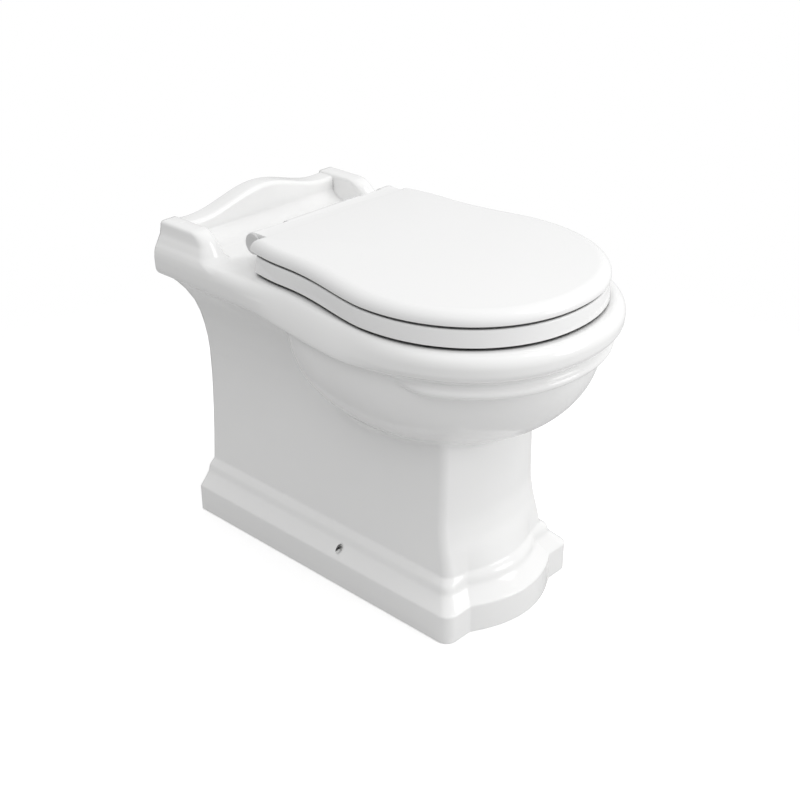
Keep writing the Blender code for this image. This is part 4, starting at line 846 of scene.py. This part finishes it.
def make_arm(side, name):
    """One of the upright blocks at the upstand's ends, with an ogee down to the deck in front."""
    rings = []
    outer_step = DECK_HALF_WIDTH - UPSTAND_HALF_WIDTH
    for share in spaced(ARM_STEPS, 1.0):
        reach_share, outer_share, lean = (float(smooth_read(ARM, share, column)) for column in (1, 2, 3))
        reach = between(ARM_REACH, ARM_FOOT_REACH, reach_share)
        outer = UPSTAND_HALF_WIDTH + outer_step * outer_share
        inner = UPSTAND_HALF_WIDTH - ARM_THICKNESS + ARM_LEAN * (lean if share > ARM_LEAN_CHANGE else -lean)
        middle, half = (outer + inner) / 2, (outer - inner) / 2
        ring = [(outer, BACK_GAP), (outer, reach - half)]
        for turn in np.linspace(0, math.pi, ARM_TURN_STEPS)[1:-1]:
            ring.append((middle + half * math.cos(turn), reach - half + half * math.sin(turn)))
        ring += [(inner, reach - half), (inner, BACK_GAP)]
        rings.append(at_height(np.array(ring) * (side, 1), between(RIM_HEIGHT, ARM_HEIGHT, share)))
    return loft_object(name, rings, china, ROUND_ANGLE, ends=(False, True))


# What is taken from the solid for the pan's inside ends where the visible skin takes over
PROFILE_MARGIN = 0.001
PROFILE_COUNT = 90
FACE_MARGIN = 0.0005
DECK_SLAB_HEIGHT = 0.4195
TURN_MARGIN = 0.01
SKIN_DEPTH = 0.007
INWARD_LIMIT = -0.02
BOWL_FOOT_HEIGHT = 0.2575
BOWL_MARGIN = 0.003
BOWL_BACK_LIMIT = 0.176
INSIDE_ANGLE = 35


def make_pan_inside():
    """The sump, the trapway, the flush inlet and the hollow behind, taken from the solid."""
    form = bmesh.new()
    form.from_mesh(nodes["pan"].data)
    heights = np.linspace(PROFILE_MARGIN, RIM_HEIGHT - PROFILE_MARGIN, PROFILE_COUNT)
    profile = [to_polar(outer_half(height)) for height in heights]
    doomed = []
    for face in form.faces:
        centre = face.calc_center_median()
        depth = WALL_Y - centre.y
        reach = math.hypot(centre.x, HUB_DEPTH - depth)
        turn = math.atan2(abs(centre.x), HUB_DEPTH - depth)
        if centre.z > DECK_SLAB_HEIGHT and depth > FACE_MARGIN:
            doomed.append(face)
            continue
        if centre.z < FACE_MARGIN or depth < FACE_MARGIN:
            continue
        level = round((centre.z - PROFILE_MARGIN) / (heights[1] - heights[0]))
        turns, reaches = profile[int(np.clip(level, 0, PROFILE_COUNT - 1))]
        edge = np.interp(turn, turns, reaches)
        outward = face.normal.x * centre.x + face.normal.y * centre.y
        if turn >= turns[0] - TURN_MARGIN and reach > edge - SKIN_DEPTH and outward > INWARD_LIMIT:
            doomed.append(face)
        elif centre.z > BOWL_FOOT_HEIGHT:
            bowl = float(bowl_radii(np.array([turn]), 1.0)[0])
            if reach < bowl + BOWL_MARGIN and depth > BOWL_BACK_LIMIT:
                doomed.append(face)
    bmesh.ops.delete(form, geom=doomed, context="FACES")
    mesh = bpy.data.meshes.new("pan_inside")
    form.to_mesh(mesh)
    form.free()
    return add_object("pan_inside", mesh, china, INSIDE_ANGLE)


pan_outer = make_pan_outer()
# A second material, black dark rubber, paints the fixing holes' inner walls as painted shade
pan_outer.data.materials.append(dark_rubber)
for side in (-1, 1):
    cut_fixing_hole(pan_outer, side)
pan_glaze = join(pan_outer, make_deck_back(), make_upstand(), make_arm(-1, "arm_left"),
                 make_arm(1, "arm_right"), make_bowl_inside())
pan_glaze.name = "pan_glaze"
pan_inside = make_pan_inside()
for item in (pan_glaze, pan_inside):
    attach(item, "pan")
    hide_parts("pan")


# Seat and lid

SEAT_BACK_STEPS = 60
SEAT_BEND_STEPS = 30
SEAT_FLANK_STEPS = 120
SEAT_SWELL_POWER = 0.85
SEAT_UNDER_EDGE = 0.0012
SEAT_FLAT_RUN = 0.006
SEAT_HOLE_EDGE = SEAT_EDGE * 1.4
SEAT_ANGLES = math.pi * spaced(((0, 0.17, 24), (0.17, 0.24, 36), (0.24, 1.0, 109)), 1.0)


def seat_waist(depth):
    """Half the seat's width behind its waist."""
    return SEAT_WAIST_HALF_WIDTH - SEAT_BACK_NARROWING * ((SEAT_WAIST_DEPTH - depth) / SEAT_BACK_RUN) ** 2


def seat_outline(back_depth, corner):
    """The seat or lid in plan: flat back, rounded corners, a waist and an oval front."""
    half_back = SEAT_WAIST_HALF_WIDTH - SEAT_BACK_NARROWING / 2
    start = back_depth + corner
    x = np.linspace(0, half_back - corner, SEAT_BACK_STEPS)[:-1]
    back = np.stack((x, np.full(len(x), back_depth)), 1)
    turn = np.linspace(0, math.pi / 2, SEAT_BEND_STEPS)
    bend = np.stack((between(seat_waist(start), half_back - corner, 1 - np.sin(turn)),
                     back_depth + corner * (1 - np.cos(turn))), 1)
    depth = np.linspace(start, SEAT_WIDEST_DEPTH, SEAT_FLANK_STEPS)[1:-1]
    share = np.clip((SEAT_WIDEST_DEPTH - depth) / (SEAT_WIDEST_DEPTH - SEAT_WAIST_DEPTH), 0, 1)
    swell = between(SEAT_HALF_WIDTH, SEAT_WAIST_HALF_WIDTH, ease(share ** SEAT_SWELL_POWER))
    flank = np.stack((np.where(depth < SEAT_WAIST_DEPTH, seat_waist(depth), swell), depth), 1)
    front = oval_quarter(SEAT_HALF_WIDTH, SEAT_WIDEST_DEPTH, SEAT_FRONT_DEPTH - SEAT_WIDEST_DEPTH,
                         RIM_ROUNDNESS)
    return np.concatenate((back, bend, flank, front))


def seat_ring(outline, inset, height):
    reach = radii(outline, SEAT_ANGLES, SEAT_HUB_DEPTH) - inset
    return closed_ring(reach, SEAT_ANGLES, height, SEAT_HUB_DEPTH)


def make_seat():
    outer = seat_outline(SEAT_BACK_DEPTH, SEAT_CORNER)
    hole = full_oval(SEAT_HOLE_HALF_WIDTH, SEAT_HOLE_FRONT_DEPTH, SEAT_HOLE_BACK_DEPTH)
    under, edge = SEAT_UNDER_EDGE, SEAT_EDGE
    rings = [seat_ring(outer, under * near, SEAT_BOTTOM + under * up) for near, up in quarter(5)]
    rings += [seat_ring(outer, SEAT_LEAN + edge * near, SEAT_TOP - edge * down) for down, near in quarter(12)]
    rings.append(seat_ring(outer, SEAT_LEAN + edge + SEAT_FLAT_RUN, SEAT_TOP))
    edge = SEAT_HOLE_EDGE
    rings.append(seat_ring(hole, -edge - SEAT_FLAT_RUN, SEAT_TOP))
    rings += [seat_ring(hole, -edge * near, SEAT_TOP - edge * down) for down, near in down_quarter(12)]
    rings += [seat_ring(hole, -under * near, SEAT_BOTTOM + under * up) for near, up in down_quarter(5)]
    rings.append(rings[0])
    return loft_object("seat_ring", rings, plastic)


# The lid's underside from its middle to its edge: inset, and height over LID_BOTTOM
LID_UNDER = ((0.10, LID_RECESS), (LID_BAND * 1.25, LID_RECESS), (LID_BAND * 1.15, LID_RECESS * 0.85),
             (LID_BAND, 0.0006), (LID_BAND * 0.94, 0.0), (0.0016, 0.0))
LID_UNDER_EDGE = 0.0014
LID_ROUND_STEPS = 26
LID_CROWN_STEPS = 9
LID_SIDE_SHARE = 0.16
LID_MIDDLE_INSET = 0.15


def make_lid():
    outline = seat_outline(LID_BACK_DEPTH, SEAT_CORNER / 2)
    rings = [seat_ring(outline, inset, LID_BOTTOM + rise) for inset, rise in LID_UNDER]
    rings += [seat_ring(outline, LID_UNDER_EDGE * near, LID_BOTTOM + LID_UNDER_EDGE * up)
              for near, up in quarter(6)]
    side = LID_BOTTOM + LID_THICKNESS * LID_SIDE_SHARE
    for turn in np.linspace(0, math.pi / 2, LID_ROUND_STEPS):
        inset = LID_ROUND * (1 - math.cos(turn))
        rings.append(seat_ring(outline, inset, side + (LID_TOP - side) * math.sin(turn)))
    for share in np.linspace(0, 1, LID_CROWN_STEPS)[1:]:
        rise = LID_CROWN * (1 - (1 - share) ** 2)
        rings.append(seat_ring(outline, between(LID_ROUND, LID_MIDDLE_INSET, share), LID_TOP + rise))
    return loft_object("lid_panel", rings, plastic, ends=(True, True))


BARREL_SIDES = 64
BARREL_EDGE = 0.0008
BARREL_ANGLE = 35
BLOCK_EDGE = 0.0012
CUT_ANGLE = 30


def barrel(name, low, high, radius, edge=BARREL_EDGE):
    """A cylinder with rounded ends on the hinge's axis."""
    profile = [(0.0, low)]
    profile += [(radius - edge * near, low + edge * up) for near, up in quarter(5)]
    profile += [(radius - edge * near, high - edge * down) for down, near in quarter(5)]
    profile.append((0.0, high))
    turn = np.linspace(0, 2 * math.pi, BARREL_SIDES, endpoint=False)
    rings = [np.stack((r * np.cos(turn), r * np.sin(turn), np.full(len(turn), h)), 1) for r, h in profile]
    item = loft_object(name, rings, plastic, BARREL_ANGLE)
    item.data.transform(Matrix.Translation((0, WALL_Y - HINGE_DEPTH, HINGE_HEIGHT))
                        @ Matrix.Rotation(math.pi / 2, 4, "Y"))
    return item


def block(name, low, high, edge=BLOCK_EDGE):
    """A box between two corners given as (x, depth, height), with rounded edges."""
    form = bmesh.new()
    bmesh.ops.create_cube(form, size=1)
    start = Vector((low[0], WALL_Y - low[1], low[2]))
    end = Vector((high[0], WALL_Y - high[1], high[2]))
    size = end - start
    form.transform(Matrix.Translation((start + end) / 2)
                   @ Matrix.Diagonal((abs(size.x), abs(size.y), abs(size.z), 1)))
    if edge:
        bmesh.ops.bevel(form, geom=form.edges[:], offset=edge, segments=3, affect="EDGES")
    mesh = bpy.data.meshes.new(name)
    form.to_mesh(mesh)
    form.free()
    return add_object(name, mesh, plastic, EDGE_ANGLE)


def combine(item, *steps):
    """Join or cut an object with helpers, given as (operation, helper)."""
    for operation, tool in steps:
        step = item.modifiers.new(tool.name, "BOOLEAN")
        step.operation = operation
        step.solver = "EXACT"
        step.object = tool
    depsgraph = bpy.context.evaluated_depsgraph_get()
    mesh = bpy.data.meshes.new_from_object(item.evaluated_get(depsgraph))
    item.modifiers.clear()
    item.data = mesh
    smooth(mesh, CUT_ANGLE)
    for _, tool in steps:
        bpy.data.objects.remove(tool)
    return item


# Where the pieces lie along the hinge, outwards from the middle
POST_START = HINGE_X - POST_WIDTH / 2
ROLL_END = POST_START - HINGE_GAP
KNUCKLE_START = POST_START + POST_WIDTH + HINGE_GAP
KNUCKLE_ENDS = (KNUCKLE_START, KNUCKLE_START + KNUCKLE_WIDTH)
LUG_ENDS = (KNUCKLE_ENDS[1] + HINGE_GAP, KNUCKLE_ENDS[1] + HINGE_GAP + LUG_WIDTH)
CAP_START_GAP = 0.0003
HOOD_INSET = 0.0006
HOOD_SINK = 0.0001
ROOM_OVERRUN = 0.0006
SEAT_ARM_LIFT = 0.0072
SEAT_ARM_SINK = 0.0016


def both_ends(ends, side):
    return sorted(side * end for end in ends)


def finish_seat():
    """The seat ring with its knuckles on the pins."""
    pieces = [make_seat()]
    for side in (-1, 1):
        low, high = both_ends(KNUCKLE_ENDS, side)
        pieces.append(barrel("knuckle", low, high, SLEEVE_RADIUS))
        pieces.append(block("seat_arm", (low, HINGE_DEPTH, RIM_HEIGHT + SEAT_ARM_LIFT),
                            (high, SEAT_BACK_DEPTH + SEAT_CORNER, SEAT_TOP - SEAT_ARM_SINK)))
    return join(*pieces)


def finish_lid():
    """The lid with its hood, roll and lugs, and a groove in its back corners for the end caps."""
    lid = make_lid()
    groove = LUG_ENDS[1] + CAP_START_GAP + CAP_LENGTH + HINGE_GAP
    hood = LUG_ENDS[1] - HOOD_INSET
    steps = [("DIFFERENCE", barrel("groove", -groove, groove, HINGE_RADIUS + LID_HINGE_CLEARANCE, 0)),
             ("UNION", block("hood", (-hood, HINGE_DEPTH, LID_BOTTOM + HINGE_GAP),
                             (hood, HINGE_DEPTH + HINGE_RADIUS + LID_BAND, LID_TOP - HOOD_SINK), 0))]
    for side in (-1, 1):
        low, high = both_ends((POST_START - ROOM_OVERRUN, KNUCKLE_ENDS[1] + ROOM_OVERRUN), side)
        steps.append(("DIFFERENCE", barrel("room", low, high, SLEEVE_RADIUS + HINGE_GAP, 0)))
    steps.append(("UNION", barrel("roll", -ROLL_END, ROLL_END, HINGE_RADIUS)))
    for side in (-1, 1):
        steps.append(("UNION", barrel("lug", *both_ends(LUG_ENDS, side), HINGE_RADIUS)))
    return combine(lid, *steps)


for item, body in ((finish_seat(), "seat"), (finish_lid(), "lid")):
    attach(item, body)
    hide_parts(body)

# The small fittings keep their solids' shapes, with rounded edges and finishes of their own
FITTING_EDGE = 0.0003
FINISHES = {"white_plastic": plastic, "grey_cap_plastic": cap_grey, "pale_rubber": pale_rubber,
            "dark_rubber": dark_rubber, "plated_steel": steel, "nylon": nylon}
for row in frame["record"]["subparts"]:
    if row["node"] in ("pan", "seat", "lid"):
        continue
    item = nodes[row["node"]]
    item.data.materials.clear()
    item.data.materials.append(FINISHES[row["material_slot"]])
    soften = item.modifiers.new("soften", "BEVEL")
    soften.width = FITTING_EDGE
    soften.segments = 2
    soften.limit_method = "ANGLE"
    soften.angle_limit = math.radians(EDGE_ANGLE)


# Stage, light and camera

FLOOR_HALF_SIZE = 12.0
FLOOR_DROP = 0.0005
FLOOR_WHITE = (0.96, 0.96, 0.96, 1)
FLOOR_GLOW = 0.34
FLOOR_BOUNCE = (0.62, 0.62, 0.62, 1)
FLOOR_SOLID_RADIUS = 0.45
FLOOR_CLEAR_RADIUS = 1.1
SKY_SIDE = (0.640, -0.470, 0.608)
SKY_DARK = 0.42
SKY_BRIGHT = 1.20
# Each lamp's name, place, aim, size in metres and power in watts, and whether gloss mirrors it
LAMPS = (("left", (-1.5, -0.5, 2.6), (0, 0, 0.3), 1.8, 11, False),
         ("front_right", (1.0, -1.35, 2.6), (0, -0.1, 0.3), 1.2, 11, True),
         ("front", (1.2, -2.2, 1.1), (0, 0, 0.25), 1.2, 9, True))
CAMERA_PLACE = (-1.19804, -1.11108, 1.09721)
CAMERA_TURN = (62.368, 0.0, -46.891)
CAMERA_LENS = 61.36
SENSOR_WIDTH = 36.0


def make_stage():
    """A pale floor that glows a little for the camera and fades out to the white background."""
    mesh = bpy.data.meshes.new("floor")
    size = FLOOR_HALF_SIZE
    mesh.from_pydata([(-size, -size, 0), (size, -size, 0), (size, size, 0), (-size, size, 0)], [],
                     [(0, 1, 2, 3)])
    floor = bpy.data.objects.new("floor", mesh)
    floor.location = (0, 0, -FLOOR_DROP)
    bpy.context.scene.collection.objects.link(floor)
    material, tree, shader = new_material("floor_white")
    for socket, value in (("Base Color", FLOOR_WHITE), ("Roughness", 0.9),
                          ("Specular IOR Level", 0.1), ("Emission Color", (1, 1, 1, 1)),
                          ("Emission Strength", FLOOR_GLOW)):
        put(tree, shader, socket, value)
    place = add_node(tree, "TexCoord")
    length = add_node(tree, "VectorMath", {0: place.outputs["Object"]}, operation="LENGTH")
    fade = add_node(tree, "MapRange", {"Value": length.outputs["Value"], "From Min": FLOOR_SOLID_RADIUS,
                                       "From Max": FLOOR_CLEAR_RADIUS}, interpolation_type="SMOOTHSTEP")
    clear = add_node(tree, "BsdfTransparent")
    dim = add_node(tree, "BsdfDiffuse", {"Color": FLOOR_BOUNCE})
    path = add_node(tree, "LightPath")
    seen = add_node(tree, "MixShader", {"Fac": path.outputs["Is Camera Ray"], 1: dim.outputs["BSDF"],
                                        2: shader.outputs["BSDF"]})
    mix = add_node(tree, "MixShader", {"Fac": fade.outputs["Result"], 1: seen.outputs["Shader"],
                                       2: clear.outputs["BSDF"]})
    put(tree, tree.nodes["Material Output"], "Surface", mix.outputs["Shader"])
    mesh.materials.append(material)


def make_world():
    """White for the camera, and for all else a sky that is brighter towards one side."""
    world = bpy.data.worlds.new("studio")
    bpy.context.scene.world = world
    world.use_nodes = True
    tree = world.node_tree
    tree.nodes.clear()
    place = add_node(tree, "TexCoord")
    facing = add_node(tree, "VectorMath", {0: place.outputs["Generated"], 1: SKY_SIDE},
                      operation="DOT_PRODUCT")
    ramp = add_node(tree, "MapRange", {"Value": facing.outputs["Value"], "From Min": -1.0,
                                       "From Max": 1.0, "To Min": SKY_DARK, "To Max": SKY_BRIGHT})
    around = add_node(tree, "Background", {"Strength": ramp.outputs["Result"]})
    seen = add_node(tree, "Background", {"Color": (1, 1, 1, 1), "Strength": 1.0})
    path = add_node(tree, "LightPath")
    mix = add_node(tree, "MixShader", {"Fac": path.outputs["Is Camera Ray"],
                                       1: around.outputs["Background"], 2: seen.outputs["Background"]})
    add_node(tree, "OutputWorld", {"Surface": mix.outputs["Shader"]})


def add_lamp(name, place, aim, size, power, glossy):
    data = bpy.data.lights.new(name, "AREA")
    data.shape = "DISK"
    data.size = size
    data.energy = power
    lamp = bpy.data.objects.new(name, data)
    lamp.location = place
    lamp.rotation_euler = (Vector(aim) - Vector(place)).to_track_quat("-Z", "Y").to_euler()
    lamp.visible_glossy = glossy
    bpy.context.scene.collection.objects.link(lamp)


make_stage()
make_world()
for lamp in LAMPS:
    add_lamp(*lamp)

scene = bpy.context.scene
scene.view_settings.view_transform = "Standard"
camera_data = bpy.data.cameras.new("camera")
camera_data.sensor_width = SENSOR_WIDTH
camera_data.lens = CAMERA_LENS
camera = bpy.data.objects.new("camera", camera_data)
camera.location = CAMERA_PLACE
camera.rotation_euler = [math.radians(angle) for angle in CAMERA_TURN]
scene.collection.objects.link(camera)
scene.camera = camera
